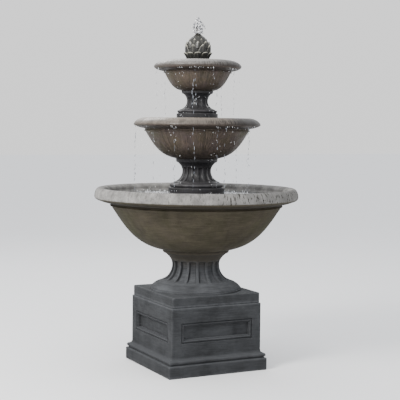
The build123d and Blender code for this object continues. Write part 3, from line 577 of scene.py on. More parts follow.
# ------------------------------------------------------------------ outlines
class Outline:
    """Half section of a turned piece in millimetres, drawn as one closed run of radius and height."""

    def __init__(self, radius, height, step=5.0):
        self.points = [(radius, height)]
        self.step = step

    def _runs(self, span):
        return max(1, math.ceil(span / self.step))

    def to(self, radius, height, widen=1):
        """Straight to a point, with steps widened where the piece is hidden."""
        r0, z0 = self.points[-1]
        count = self._runs(math.hypot(radius - r0, height - z0) / widen)
        self.points += [(r0 + (radius - r0) * i / count, z0 + (height - z0) * i / count)
                        for i in range(1, count + 1)]
        return self

    def arc(self, radius, height, sag):
        """Arc to a point. sag is how far its middle bulges to the right of the way it goes."""
        r0, z0 = self.points[-1]
        run, rise = radius - r0, height - z0
        chord = math.hypot(run, rise)
        count = max(6, self._runs(chord * 1.6))
        for i in range(1, count + 1):
            t = i / count
            bulge = 4 * t * (1 - t) * sag
            self.points.append((r0 + run * t + rise / chord * bulge, z0 + rise * t - run / chord * bulge))
        return self

    def curve(self, first, second, end):
        """Bezier curve through two handles to a point."""
        start = self.points[-1]
        span = sum(math.dist(a, b) for a, b in ((start, first), (first, second), (second, end)))
        count = max(8, self._runs(span * 0.95))
        for i in range(1, count + 1):
            t = i / count
            k = ((1 - t) ** 3, 3 * t * (1 - t) ** 2, 3 * t * t * (1 - t), t**3)
            self.points.append(tuple(sum(w * p[a] for w, p in zip(k, (start, first, second, end)))
                                     for a in (0, 1)))
        return self

    def nose(self, radius, height, power=2.0, rising=True, count=12):
        """Quarter of a rounded nose to a point, level or upright at its ends."""
        r0, z0 = self.points[-1]
        for i in range(1, count + 1):
            t = i / count * math.pi / 2
            across, up = (1 - math.cos(t) ** (2 / power), math.sin(t) ** (2 / power))
            if not rising:
                across, up = up, across
            self.points.append((r0 + (radius - r0) * across, z0 + (height - z0) * up))
        return self

    def worn(self, wear):
        """The points in metres, with each sharp corner rounded by wear, and closed on the first."""
        ring = [p for p, q in zip(self.points, self.points[1:] + self.points[:1])
                if math.hypot(p[0] - q[0], p[1] - q[1]) > 1e-6]
        made = []
        for i, here in enumerate(ring):
            before, after = ring[i - 1], ring[(i + 1) % len(ring)]
            a = Vector(before) - Vector(here)
            b = Vector(after) - Vector(here)
            if here[0] < 1e-6 or a.angle(-b) < math.radians(24):
                made.append(here)
                continue
            back = min(wear, 0.45 * a.length, 0.45 * b.length)
            p, q = Vector(here) + a.normalized() * back, Vector(here) + b.normalized() * back
            for t in (0.0, 0.33, 0.67, 1.0):
                made.append(tuple(p.lerp(Vector(here), t).lerp(Vector(here).lerp(q, t), t)))
        made.append(made[0])
        return [(r * MM, z * MM) for r, z in made]


def bowl_outline(node, seat, shoulder, band, lip, rim, crest, inner, wall, floor, hub=None, power=1.7):
    """Section of a bowl. Heights are above its seat; hub is its radius, height and bore."""
    z0 = height_of(node)
    run, rise = shoulder[0] - seat, shoulder[1]
    line = Outline(hub[2] if hub else 0.0, z0)
    line.to(seat - 3, z0).to(seat + 1, z0 + 2)
    line.curve((seat + run * 0.549, z0 + rise * 0.128), (seat + run * 0.74, z0 + rise * 0.539),
               (shoulder[0], z0 + rise))
    bead = (band[1] - shoulder[1]) * 0.42
    line.to(shoulder[0] + 2.5, z0 + rise + 1).arc(shoulder[0] + 6, z0 + rise + bead, 3)
    line.to(shoulder[0] + 3, z0 + rise + bead + 1)
    line.arc(band[0], z0 + band[1], -bead * 0.45).to(band[0] + 3, z0 + band[1] + 1)
    line.curve((band[0] + (lip[0] - band[0]) * 0.5, z0 + band[1] + 3), (lip[0] - 12, z0 + lip[1] - 6),
               (lip[0], z0 + lip[1]))
    line.curve((lip[0] + (rim[0] - lip[0]) * 0.7, z0 + lip[1] + 3),
               (rim[0], z0 + rim[1] - (rim[1] - lip[1]) * 0.4), (rim[0], z0 + rim[1]))
    line.nose(crest[0], z0 + crest[1], power)
    line.nose(inner[0], z0 + inner[1], 2.0, rising=False)
    line.curve((inner[0] - 4, z0 + inner[1] - 20), (shoulder[0] - wall + 8, z0 + rise + 10),
               (shoulder[0] - wall, z0 + rise - 6))
    line.curve((seat + run * 0.74 - wall, z0 + floor + (rise - floor) * 0.5),
               (seat + run * 0.5 - wall * 0.5, z0 + floor + 4), (seat * 0.9, z0 + floor))
    if hub:
        line.to(hub[0] + 14, z0 + floor).arc(hub[0], z0 + floor + 14, -4).to(hub[0], z0 + hub[1])
        line.to(hub[2], z0 + hub[1])
    else:
        line.to(0.0, z0 + floor)
    line.to(line.points[0][0], z0)
    return line


def pedestal_outline(node, foot, groove, torus, shoulder, column, waist, flare, ring, bore, slab, line_at=0.0):
    """Section of a pedestal. Each size is a radius and a height above the pedestal's foot."""
    z0 = height_of(node) + slab
    line = Outline(bore, z0, step=3.5)
    line.to(foot[0] - 8, z0, widen=6).to(foot[0], z0)
    if line_at:
        line.to(foot[0], z0 + line_at - 2).to(foot[0] - 2.5, z0 + line_at).to(foot[0] - 0.5, z0 + line_at + 2)
    line.to(foot[0] - (0.5 if line_at else 0), z0 + foot[1])
    line.to(groove[0] + 2, z0 + foot[1] + 1).arc(groove[0], z0 + groove[1], -2)
    line.arc(shoulder[0], z0 + shoulder[1], torus)
    line.to(shoulder[0] - 2, z0 + shoulder[1] - 2).to(shoulder[0] - 5, z0 + shoulder[1] - 1)
    line.arc(column[0] + 3, z0 + column[1] - 2, -1.5).to(column[0], z0 + column[1])
    out, rise = column[0] - waist[0], waist[1] - column[1]
    bend = (out * out + rise * rise) / (2 * out)
    for i in range(1, 25):
        t = rise * (1 - i / 24)
        line.points.append((waist[0] + bend - math.sqrt(max(0.0, bend * bend - t * t)), z0 + waist[1] - t))
    line.curve((waist[0], z0 + waist[1] + (flare[1] - waist[1]) * 0.42),
               (waist[0] + (flare[0] - waist[0]) * 0.42, z0 + waist[1] + (flare[1] - waist[1]) * 0.72),
               (flare[0], z0 + flare[1]))
    line.to(flare[0] + 4, z0 + flare[1]).arc(ring[0], z0 + (flare[1] + ring[1]) / 2, 1)
    line.arc(ring[0] - 1, z0 + ring[1], 1).to(bore, z0 + ring[1]).to(bore, z0, widen=12)
    return line


# ------------------------------------------------------------------ geometry trees
GEOMETRY, INTEGER, MATERIAL, OBJECT = ("NodeSocketGeometry", "NodeSocketInt", "NodeSocketMaterial",
                                       "NodeSocketObject")


def make_turning_tree():
    """Turns an outline about Z, with square-ended flutes and a hand-cast unevenness."""
    tree, given, out = new_group(
        "Turned Stone",
        [("Geometry", GEOMETRY, None), ("Sides", INTEGER, 416), ("Flutes", INTEGER, 0),
         ("Flute Fill", FLOAT, 0.77), ("Flute Depth", FLOAT, 0.08), ("Flute Foot", FLOAT, 0.0),
         ("Flute Head", FLOAT, 0.1), ("Bore", FLOAT, 0.0), ("Unevenness", FLOAT, 0.001),
         ("Material", MATERIAL, None)],
        [("Geometry", GEOMETRY)], "GeometryNodeTree")
    size = add(tree, "GeometryNodeAttributeDomainSize", {"Geometry": given["Geometry"]})
    count = size.outputs["Point Count"]
    columns = plus(tree, given["Sides"], 1)
    grid = add(tree, "GeometryNodeMeshGrid", {"Vertices X": count, "Vertices Y": columns}).outputs[0]
    index = tree.nodes.new("GeometryNodeInputIndex").outputs[0]
    row = maths(tree, "FLOOR", maths(tree, "DIVIDE", plus(tree, index, 0.5), columns))
    column = minus(tree, index, times(tree, row, columns))
    sample = add(tree, "GeometryNodeSampleIndex",
                 {"Geometry": given["Geometry"], "Index": row}, data_type="FLOAT_VECTOR")
    wire(tree, tree.nodes.new("GeometryNodeInputPosition").outputs[0], sample.inputs["Value"])
    section = split(tree, sample.outputs[0])
    share = maths(tree, "DIVIDE", column, given["Sides"])
    angle = times(tree, share, 2 * math.pi)
    pitch = maths(tree, "FRACT", times(tree, share, given["Flutes"]))
    # Painted flute shadow: both walls of each flute are darkened near its edges, the wall turned from the key light
    # most.
    shaded_wall = remap(tree, pitch, 0.45, 0.55, 1.0, 0.45)
    across = maths(tree, "ABSOLUTE", minus(tree, pitch, 0.5))
    across = maths(tree, "DIVIDE", across, times(tree, given["Flute Fill"], 0.5))
    hollow = maths(tree, "SQRT", maths(tree, "MAXIMUM", 0.0,
                                       minus(tree, 1.0, maths(tree, "POWER", across, 4.0))))
    corner = times(tree, remap(tree, across, 0.62, 0.82, smooth=True),
                   times(tree, remap(tree, across, 1.06, 0.98, smooth=True), shaded_wall))
    foot = remap(tree, section[2], given["Flute Foot"], plus(tree, given["Flute Foot"], 0.009), smooth=True)
    head = remap(tree, section[2], given["Flute Head"],
                 minus(tree, given["Flute Head"], 0.005), smooth=True)
    outside = maths(tree, "GREATER_THAN", section[0], plus(tree, given["Bore"], 0.004))
    fluted = maths(tree, "GREATER_THAN", given["Flutes"], 0.5)
    mask = times(tree, times(tree, foot, head), times(tree, outside, fluted))
    depth = times(tree, times(tree, section[0], given["Flute Depth"]),
                  times(tree, mask, hollow))
    plain = minus(tree, section[0], depth)
    place = polar(tree, plain, angle, section[2])
    rough = add(tree, "ShaderNodeTexNoise", {"Vector": place, "Scale": 14.0, "Detail": 3.0}).outputs["Color"]
    drift = vector_maths(tree, "SUBTRACT", rough, (0.5, 0.5, 0.5))
    drift = vector_maths(tree, "MULTIPLY", drift, (1.0, 1.0, 0.6))
    scale = add(tree, "ShaderNodeVectorMath", {0: drift, "Scale": given["Unevenness"]}, operation="SCALE")
    on_axis = maths(tree, "GREATER_THAN", section[0], 0.001)
    steady = add(tree, "ShaderNodeVectorMath", {0: scale.outputs[0], "Scale": on_axis}, operation="SCALE")
    moved = add(tree, "GeometryNodeSetPosition",
                {"Geometry": grid, "Position": vector_maths(tree, "ADD", place, steady.outputs[0])}).outputs[0]
    # The groove mask is kept for the painted shade on the flute walls.
    kept = add(tree, "GeometryNodeStoreNamedAttribute",
               {"Geometry": moved, "Name": "groove", "Value": times(tree, corner, mask)},
               data_type="FLOAT", domain="POINT").outputs[0]
    welded = add(tree, "GeometryNodeMergeByDistance", {"Geometry": kept, "Distance": 0.00002}).outputs[0]
    end_tree(tree, welded, given["Material"], out)


def end_tree(tree, geometry, finish, out):
    """Realises a tree's instances, sets its material and puts it out."""
    real = add(tree, "GeometryNodeRealizeInstances", {"Geometry": geometry}).outputs[0]
    wire(tree, add(tree, "GeometryNodeSetMaterial", {"Geometry": real, "Material": finish}).outputs[0],
         out["Geometry"])


def make_leaf_tree():
    """Rings of leaves that climb a dome, each ring turned half a leaf from the last."""
    tree, given, out = new_group(
        "Leaf Rings",
        [("Geometry", GEOMETRY, None), ("Leaf", OBJECT, None), ("Rings", INTEGER, 1), ("Per Ring", INTEGER, 10),
         ("Radius", FLOAT, 0.07), ("Rise", FLOAT, 0.1), ("Start", FLOAT, 0.0), ("End", FLOAT, 1.2),
         ("Foot", FLOAT, 0.0), ("Lean", FLOAT, 0.0), ("Shrink", FLOAT, 0.6), ("Turn", FLOAT, 0.0),
         ("Material", MATERIAL, None)],
        [("Geometry", GEOMETRY)], "GeometryNodeTree")
    total = times(tree, given["Rings"], given["Per Ring"])
    points = add(tree, "GeometryNodePoints", {"Count": total}).outputs[0]
    index = tree.nodes.new("GeometryNodeInputIndex").outputs[0]
    ring = maths(tree, "FLOOR", maths(tree, "DIVIDE", plus(tree, index, 0.5), given["Per Ring"]))
    turn = maths(tree, "DIVIDE", plus(tree, index, times(tree, ring, 0.5)), given["Per Ring"])
    angle = plus(tree, times(tree, turn, 2 * math.pi), given["Turn"])
    share = maths(tree, "DIVIDE", ring, maths(tree, "MAXIMUM", 1.0, minus(tree, given["Rings"], 1)))
    climb = plus(tree, given["Start"],
                  times(tree, share, minus(tree, given["End"], given["Start"])))
    radius = times(tree, given["Radius"], maths(tree, "COSINE", climb))
    height = plus(tree, given["Foot"], times(tree, given["Rise"], maths(tree, "SINE", climb)))
    shaped = add(tree, "GeometryNodeSetPosition",
                 {"Geometry": points, "Position": polar(tree, radius, angle, height)}).outputs[0]
    lean = plus(tree, given["Lean"], times(tree, climb, -0.82))
    facing = join(tree, lean, 0.0, plus(tree, angle, math.pi / 2))
    size = minus(tree, 1.0, times(tree, share, given["Shrink"]))
    leaf = add(tree, "GeometryNodeObjectInfo", {"Object": given["Leaf"]}).outputs["Geometry"]
    placed = add(tree, "GeometryNodeInstanceOnPoints",
                 {"Points": shaped, "Instance": leaf, "Rotation": facing, "Scale": size}).outputs[0]
    end_tree(tree, placed, given["Material"], out)


def make_drop_tree():
    """Drops set at random in a ring-shaped curtain, long where they hang and round where they fall."""
    tree, given, out = new_group(
        "Drop Curtain",
        [("Geometry", GEOMETRY, None), ("Drop", OBJECT, None), ("Count", INTEGER, 60), ("Inner", FLOAT, 0.2),
         ("Outer", FLOAT, 0.25), ("Low", FLOAT, 0.0), ("High", FLOAT, 0.1), ("Small", FLOAT, 0.6),
         ("Large", FLOAT, 1.6), ("Longest", FLOAT, 2.0), ("Bunching", FLOAT, 1.0), ("Taper", FLOAT, 0.0),
         ("Seed", INTEGER, 1), ("Material", MATERIAL, None)],
        [("Geometry", GEOMETRY)], "GeometryNodeTree")
    points = add(tree, "GeometryNodePoints", {"Count": given["Count"]}).outputs[0]

    def chance(low, high, offset):
        """A random value for each drop."""
        node = add(tree, "FunctionNodeRandomValue", {}, data_type="FLOAT")
        wire(tree, low, node.inputs[2])
        wire(tree, high, node.inputs[3])
        wire(tree, plus(tree, given["Seed"], float(offset)), node.inputs["Seed"])
        return node.outputs[1]

    angle = times(tree, chance(0.0, 1.0, 0), 2 * math.pi)
    bunch = times(tree, maths(tree, "SINE", times(tree, angle, 9.0)),
                  times(tree, given["Bunching"], 0.09))
    angle = plus(tree, angle, bunch)
    radius = chance(given["Inner"], given["Outer"], 11)
    share = chance(0.0, 1.0, 23)
    height = remap(tree, share, 0.0, 1.0, given["Low"], given["High"])
    radius = times(tree, radius,
                   minus(tree, 1.0, times(tree, share, given["Taper"])))
    shaped = add(tree, "GeometryNodeSetPosition",
                 {"Geometry": points, "Position": polar(tree, radius, angle, height)}).outputs[0]
    size = chance(given["Small"], given["Large"], 37)
    longer = times(tree, size, chance(1.0, given["Longest"], 53))
    scale = join(tree, size, size, longer)
    drop = add(tree, "GeometryNodeObjectInfo", {"Object": given["Drop"]}).outputs["Geometry"]
    placed = add(tree, "GeometryNodeInstanceOnPoints",
                 {"Points": shaped, "Instance": drop, "Scale": scale}).outputs[0]
    end_tree(tree, placed, given["Material"], out)


def run_tree(carrier, tree_name, values):
    """Runs a tree on an object and gives the plain mesh that it makes. The object is removed."""
    tree = bpy.data.node_groups[tree_name]
    modifier = carrier.modifiers.new(tree_name, "NODES")
    modifier.node_group = tree
    identifiers = {s.name: s.identifier for s in tree.interface.items_tree if s.in_out == "INPUT"}
    for key, value in values.items():
        modifier[identifiers[key]] = value
    made = evaluated_mesh(carrier)
    carrier.modifiers.remove(modifier)
    old = carrier.data
    bpy.data.objects.remove(carrier)
    bpy.data.meshes.remove(old)
    return made


# ------------------------------------------------------------------ meshes
def new_object(name, mesh):
    """Links a new object for a mesh."""
    piece = bpy.data.objects.new(name, mesh)
    bpy.context.scene.collection.objects.link(piece)
    return piece


def mesh_from(name, points, faces=(), edges=()):
    """A mesh from points and faces."""
    mesh = bpy.data.meshes.new(name)
    mesh.from_pydata([tuple(p) for p in points], list(edges), list(faces))
    mesh.update()
    return mesh


def read(items, name, width, kind=np.float32):
    """One attribute of a mesh's items, with a row for each item."""
    flat = np.empty(len(items) * width, kind)
    items.foreach_get(name, flat)
    return flat.reshape(-1, width)


def coordinates(mesh):
    """A mesh's points as an array."""
    return read(mesh.vertices, "co", 3).astype(float)


def evaluated_mesh(piece):
    """A plain mesh of a piece with its modifiers run."""
    bpy.context.view_layer.update()
    return bpy.data.meshes.new_from_object(piece.evaluated_get(bpy.context.evaluated_depsgraph_get()))


def enclosed_volume(mesh):
    """Signed volume inside a mesh; negative when its faces point inwards."""
    mesh.calc_loop_triangles()
    corners = read(mesh.loop_triangles, "vertices", 3, np.int32)
    a, b, c = (coordinates(mesh)[corners[:, i]] for i in range(3))
    return float(np.einsum("ij,ij->i", a, np.cross(b, c)).sum() / 6)


def point_outwards(mesh):
    """Turns a closed mesh's faces outwards."""
    if enclosed_volume(mesh) < 0:
        mesh.flip_normals()


def smooth_by_angle(mesh, degrees=32.0):
    """Smooth shading, with edges sharper than an angle kept sharp."""
    mesh.shade_smooth()
    mesh.set_sharp_from_angle(angle=math.radians(degrees))


def write_mask(mesh, name, values):
    """Stores a value for each of a mesh's points."""
    mesh.attributes.new(name, "FLOAT", "POINT").data.foreach_set("value", values)


def edge_masks(mesh, reach=4, gain=9.0):
    """Writes the edge and hollow masks: how far each point stands out of or into the surface near it."""
    points = coordinates(mesh)
    ends = read(mesh.edges, "vertices", 2, np.int32)
    normals = read(mesh.vertices, "normal", 3).astype(float)
    count = np.zeros(len(points))
    np.add.at(count, ends.ravel(), 1)
    count = np.maximum(count, 1)

    def neighbour_mean(values):
        """Mean over each point's neighbours."""
        total = np.zeros_like(values)
        np.add.at(total, ends[:, 0], values[ends[:, 1]])
        np.add.at(total, ends[:, 1], values[ends[:, 0]])
        return total / (count[:, None] if values.ndim == 2 else count)

    span = np.zeros(len(points))
    lengths = np.linalg.norm(points[ends[:, 0]] - points[ends[:, 1]], axis=1)
    np.add.at(span, ends[:, 0], lengths)
    np.add.at(span, ends[:, 1], lengths)
    span = np.maximum(span / count, 1e-5)
    bend = np.einsum("ij,ij->i", points - neighbour_mean(points), normals) / np.sqrt(span * 0.004)
    for _ in range(reach):
        bend = 0.5 * bend + 0.5 * neighbour_mean(bend)
    for name, sign in (("edge", 1), ("hollow", -1)):
        write_mask(mesh, name, np.clip(sign * bend * gain - 0.12, 0, 1).astype(np.float32))


def finish_piece(piece, body, slot, *nodes):
    """Puts a finished piece on its body and hides the CAD nodes that it replaces."""
    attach(piece, body)
    if nodes:
        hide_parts(*nodes)
    return piece


def turned_piece(name, outline, finish, body, slot, node, flutes=0, columns=26, flute_span=(0.0, 0.1),
                 bore=0.0):
    """A turned stone piece that replaces a CAD node."""
    stone = settings("stone")
    section = outline.worn(stone.edge_round / MM)
    carrier = new_object(name + "_section", mesh_from(name, [(r, 0.0, z) for r, z in section]))
    mesh = run_tree(carrier, "Turned Stone", {
        "Sides": flutes * columns if flutes else stone.sides, "Flutes": flutes,
        "Flute Fill": 2 * round(columns * 0.385) / columns, "Flute Depth": stone.flute_depth,
        "Flute Foot": flute_span[0] * MM, "Flute Head": flute_span[1] * MM, "Bore": bore * MM,
        "Unevenness": stone.unevenness, "Material": material(finish)})
    mesh.name = name
    point_outwards(mesh)
    smooth_by_angle(mesh)
    edge_masks(mesh)
    return finish_piece(new_object(name, mesh), body, slot, node)


# ------------------------------------------------------------------ square base
def rounded_square(half, corner, marks):
    """Points round a square: each side at the given marks, from -1 to 1, with arcs at the corners."""
    points = []
    flat = half - corner
    for quarter in range(4):
        turn = Matrix.Rotation(quarter * math.pi / 2, 2)
        for mark in marks:
            points.append(turn @ Vector((mark * flat, -half)))
        for i in range(1, 4):
            a = -math.pi / 2 + i / 4 * math.pi / 2
            points.append(turn @ Vector((flat + corner * math.cos(a), -flat + corner * math.sin(a))))
    return points


def bore_ring(marks, level):
    """A ring of the bore, each point on the line from its place on a square."""
    ring = [p.normalized() * BASE_BORE for p in rounded_square(BASE_BORE, 0.003, marks)]
    return [(p.x, p.y, level) for p in ring]


def panel_relief(across, up, wide, tall, groove, depth):
    """How deep the face is sunk at a place across and up from a panel's middle."""
    inside = min(wide / 2 - abs(across), tall / 2 - abs(up))
    if inside <= 0:
        return 0.0

    def ramp(start, end, low, high):
        """Smooth step between two depths."""
        t = min(1.0, max(0.0, (inside - start) / (end - start)))
        return low + (high - low) * t * t * (3 - 2 * t)

    depths = (0.0, groove, groove * 0.15, groove * 0.9, depth)
    step = sum(inside >= PANEL_STEPS[i] for i in (2, 4, 6))
    return ramp(*PANEL_STEPS[2 * step:2 * step + 2], *depths[step:step + 2])


def spaced(low, high, marks, coarse, fine=0.0012):
    """Places from low to high, evenly coarse apart, with extra ones close to each mark."""
    places = set(np.linspace(low, high, max(2, int((high - low) / coarse) + 1)).round(5))
    for mark in marks:
        for offset in (-2.2, -1.0, 0.0, 1.0, 2.2):
            place = mark + offset * fine
            if low < place < high:
                places.add(round(place, 5))
    return sorted(places)


def base_mesh():
    """The hollow square base: plinth, mouldings, panelled body, deck, bore and open underside."""
    stone = settings("stone")
    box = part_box("square_base")
    half = box[1].x
    top = box[1].z
    body_half = half - 0.028
    wide, tall = 2 * body_half - 0.108, 0.112
    panel_marks = [d for inset in PANEL_STEPS for d in (wide / 2 - inset, inset - wide / 2)]
    flat = body_half - 0.003
    marks = [m / flat for m in spaced(-flat, flat, panel_marks, 0.0095)]
    rows = []

    def row(half_width, level, corner=0.003):
        """Adds a ring of the outside."""
        rows.append((half_width, level, corner))

    row(half - 0.0035, 0.0)
    row(half - 0.001, 0.002)
    for level in np.linspace(0.006, 0.062, 12):
        row(half, level, 0.004)
    row(half - 0.0008, 0.0650, 0.004)
    row(half - 0.0028, 0.0675, 0.004)
    row(half - 0.0100, 0.0682)
    row(half - 0.0110, 0.0700)
    row(half - 0.0110, 0.0722)
    nose = 0.0105
    for i in range(15):
        a = -math.pi / 2 + i / 14 * math.pi
        row(half - 0.0045 - nose + nose * math.cos(a), 0.0835 + nose * math.sin(a))
    row(half - 0.0160, 0.0945)
    row(half - 0.0172, 0.0956)
    for i in range(10):
        t = i / 9 * math.pi / 2
        row(body_half + 0.0105 * (1 - math.sin(t)), 0.0962 + 0.0185 * (1 - math.cos(t)))
    levels = [PANEL_MIDDLE + d for inset in PANEL_STEPS for d in (tall / 2 - inset, inset - tall / 2)]
    for level in spaced(BASE_FACE, top - 0.004, levels, 0.006):
        row(body_half, level)
    row(body_half - 0.0008, top - 0.0018)
    row(body_half - 0.0030, top)
    points, count = [], None
    for half_width, level, corner in rows:
        ring = rounded_square(half_width, corner, marks)
        count = len(ring)
        for i, p in enumerate(ring):
            sunk = 0.0
            place = i % (count // 4)
            if place < len(marks) and BASE_FACE <= level <= top - 0.004:
                sunk = panel_relief(marks[place] * flat, level - PANEL_MIDDLE, wide, tall, stone.panel_groove,
                                    stone.panel_depth)
            face = Matrix.Rotation((i // (count // 4)) * math.pi / 2, 2) @ Vector((0.0, 1.0))
            points.append((p.x + face.x * sunk, p.y + face.y * sunk, level))
    deck = top - 0.05
    points += bore_ring(marks, top) + bore_ring(marks, deck)
    for level in (deck, 0.0):
        points.extend((p.x, p.y, level) for p in rounded_square(body_half - 0.05, 0.012, marks))
    mesh = mesh_from("base_stone", points, ring_faces(len(points) // count, count))
    unevenly(mesh, [-half, -half, 0], [half, half, top], 0.003)
    return mesh


def ring_faces(rings, count):
    """Quads that join rings of points in order, the last to the first."""
    return [(j * count + i, j * count + (i + 1) % count, (j + 1) % rings * count + (i + 1) % count,
             (j + 1) % rings * count + i) for j in range(rings) for i in range(count)]


def unevenly(mesh, low, high, floor):
    """Moves a cast mesh's points about a little, inside its own box and off the ground."""
    cast = coordinates(mesh)
    for axis in range(3):
        wave = sum(np.sin(cast @ np.array(d) * f + p) for d, f, p in (
            ((1, 0.7, 0.4), 21 + 3 * axis, axis), ((0.3, 1, 0.8), 34 + axis, 2.0 + axis), ((0.6, 0.2, 1), 55, axis)))
        cast[:, axis] += wave * settings("stone").unevenness * 0.12 * (cast[:, 2] > floor)
    mesh.vertices.foreach_set("co", np.clip(cast, low, high).astype(np.float32).ravel())
    mesh.update()


def slab_mesh():
    """The square slab under the lower pedestal, with its bore."""
    half, low = 0.266, height_of("lower_pedestal") * MM
    top = low + SLAB * MM
    flat = half - 0.004
    marks = [m / flat for m in np.linspace(-flat, flat, 60)]
    rows = [(half - 0.003, low), (half, low + 0.003)]
    rows += [(half, level) for level in np.linspace(low + 0.008, top - 0.008, 7)]
    rows += [(half, top - 0.004), (half - 0.0012, top - 0.0014), (half - 0.004, top)]
    rows += [(width, top) for width in (0.255, 0.235, 0.21, 0.18)]
    points = []
    for width, level in rows:
        points += [(p.x, p.y, level) for p in rounded_square(width, 0.004, marks)]
    points += bore_ring(marks, top) + bore_ring(marks, low)
    mesh = mesh_from("pedestal_slab", points, ring_faces(len(rows) + 2, len(points) // (len(rows) + 2)))
    unevenly(mesh, [-half, -half, low], [half, half, top], low + 0.001)
    point_outwards(mesh)
    return mesh


def arch_cutter():
    """A round-headed bar that cuts the cord's notch through the back of the base."""
    half, straight, near, far = 0.030, 0.012, 0.19, 0.32
    section = [(-half, -0.01), (half, -0.01), (half, straight)]
    section += [(half * math.cos(a), straight + half * math.sin(a))
                for a in np.linspace(0, math.pi, 17)[1:-1]]
    section.append((-half, straight))
    count = len(section)
    points = [(x, y, z) for y in (near, far) for x, z in section]
    faces = [tuple(range(count)), tuple(range(2 * count - 1, count - 1, -1))]
    faces += [(i, i + count, (i + 1) % count + count, (i + 1) % count) for i in range(count)]
    mesh = mesh_from("notch_cutter", points, faces)
    point_outwards(mesh)
    return mesh


def rod_cutter(radius, place, low, high, sides=48):
    """An upright rod that cuts a round hole."""
    turns = [math.tau * i / sides for i in range(sides)]
    rod = [(place[0] + radius * math.cos(a), place[1] + radius * math.sin(a)) for a in turns]
    points = [(x, y, z) for z in (low, high) for x, y in rod]
    faces = [tuple(range(sides))[::-1], tuple(range(sides, 2 * sides))]
    faces += [(i, (i + 1) % sides, (i + 1) % sides + sides, i + sides) for i in range(sides)]
    mesh = mesh_from("rod_cutter", points, faces)
    point_outwards(mesh)
    return mesh


def cut(piece, cutter_mesh):
    """Cuts a closed mesh out of a piece."""
    cutter = new_object("cutter", cutter_mesh)
    modifier = piece.modifiers.new("Cut", "BOOLEAN")
    modifier.operation = "DIFFERENCE"
    modifier.object = cutter
    modifier.solver = "EXACT"
    made = evaluated_mesh(piece)
    piece.modifiers.remove(modifier)
    piece.data = made
    bpy.data.objects.remove(cutter)


# ------------------------------------------------------------------ leaves and drops
def leaf_mesh(name, wide, tall, thick, curl, keel, wrap, shape, rows=13, columns=10):
    """A keeled leaf that stands on its base, faces -Y, wraps round a radius and curls out at its tip."""
    base, swell, power, point = shape
    points, masks = [], []
    for back in (0, 1):
        for j in range(rows):
            v = j / (rows - 1)
            half = wide / 2 * ((base + swell * v) * (1 - v**power) ** point + 0.02)
            for i in range(columns + 1):
                u = 2 * i / columns - 1
                bow = thick * (1.5 - 1.1 * u**4)
                ridge = keel * max(0.0, 1 - abs(u) * 2.6) * (1 - v * 0.4)
                across = u * half
                bend = across * across / (2 * wrap) - curl * v**2.4
                points.append((across, bend + (thick * 1.2 if back else -(bow + ridge)), v * tall))
                # Edge mask: points, margins and keel, lightened as wear and painted highlight. Hollow mask: darker
                # towards the leaf's foot, painted shade where the leaves overlap.
                masks.append((min(1.0, max(0.0, (v - 0.70) * 3.0) + max(0.0, abs(u) - 0.8) * v * 3 +
                                  max(0.0, 0.3 - abs(u)) * v),
                              max(0.0, 0.75 - v * 1.5)))
    step = columns + 1
    block = rows * step
    faces = []
    for j in range(rows - 1):
        for i in range(columns):
            a = j * step + i
            faces.append((a, a + 1, a + step + 1, a + step))
            faces.append((a + block, a + step + block, a + step + 1 + block, a + 1 + block))
        for a, flip in ((j * step, False), (j * step + columns, True)):
            quad = (a, a + step, a + step + block, a + block)
            faces.append(quad[::-1] if flip else quad)
    for i in range(columns):
        for a, flip in ((i, True), ((rows - 1) * step + i, False)):
            quad = (a, a + 1, a + 1 + block, a + block)
            faces.append(quad if not flip else quad[::-1])
    mesh = mesh_from(name, points, faces)
    for label, values in zip(("edge", "hollow"), zip(*masks)):
        write_mask(mesh, label, values)
    agree_outwards(mesh)
    return mesh


def agree_outwards(mesh):
    """Makes all the faces of a closed mesh agree and point outwards."""
    work = bmesh.new()
    work.from_mesh(mesh)
    bmesh.ops.remove_doubles(work, verts=work.verts, dist=1e-6)
    bmesh.ops.recalc_face_normals(work, faces=work.faces)
    work.to_mesh(mesh)
    work.free()
    point_outwards(mesh)


def drop_mesh(radius=0.002):
    """A drop: round below, drawn out above."""
    sides, levels = 8, 5
    points = [(0, 0, -radius)]
    for j in range(1, levels + 1):
        t = j / (levels + 1)
        ring = radius * math.sin(math.pi * t) ** (1.0 if t < 0.5 else 1.6)
        z = -radius * math.cos(math.pi * t) * (1.0 if t < 0.5 else 1.9)
        points += [(ring * math.cos(i / sides * math.tau), ring * math.sin(i / sides * math.tau), z)
                   for i in range(sides)]
    points.append((0, 0, radius * 1.9))
    faces = [(0, 1 + (i + 1) % sides, 1 + i) for i in range(sides)]
    for j in range(levels - 1):
        for i in range(sides):
            a, b = 1 + j * sides + i, 1 + j * sides + (i + 1) % sides
            faces.append((a, b, b + sides, a + sides))
    last = 1 + (levels - 1) * sides
    faces += [(last + i, last + (i + 1) % sides, len(points) - 1) for i in range(sides)]
    mesh = mesh_from("drop", points, faces)
    point_outwards(mesh)
    return mesh


def tree_piece(name, tree, values):
    """An object made by a tree that needs no input mesh."""
    mesh = run_tree(new_object(name + "_carrier", mesh_from(name, [(0, 0, 0)])), tree, values)
    mesh.name = name
    mesh.shade_smooth()
    return new_object(name, mesh)


def hidden_source(name, mesh):
    """An object that a tree copies from; it is removed when the tree has run."""
    piece = new_object(name, mesh)
    piece.hide_render = True
    return piece


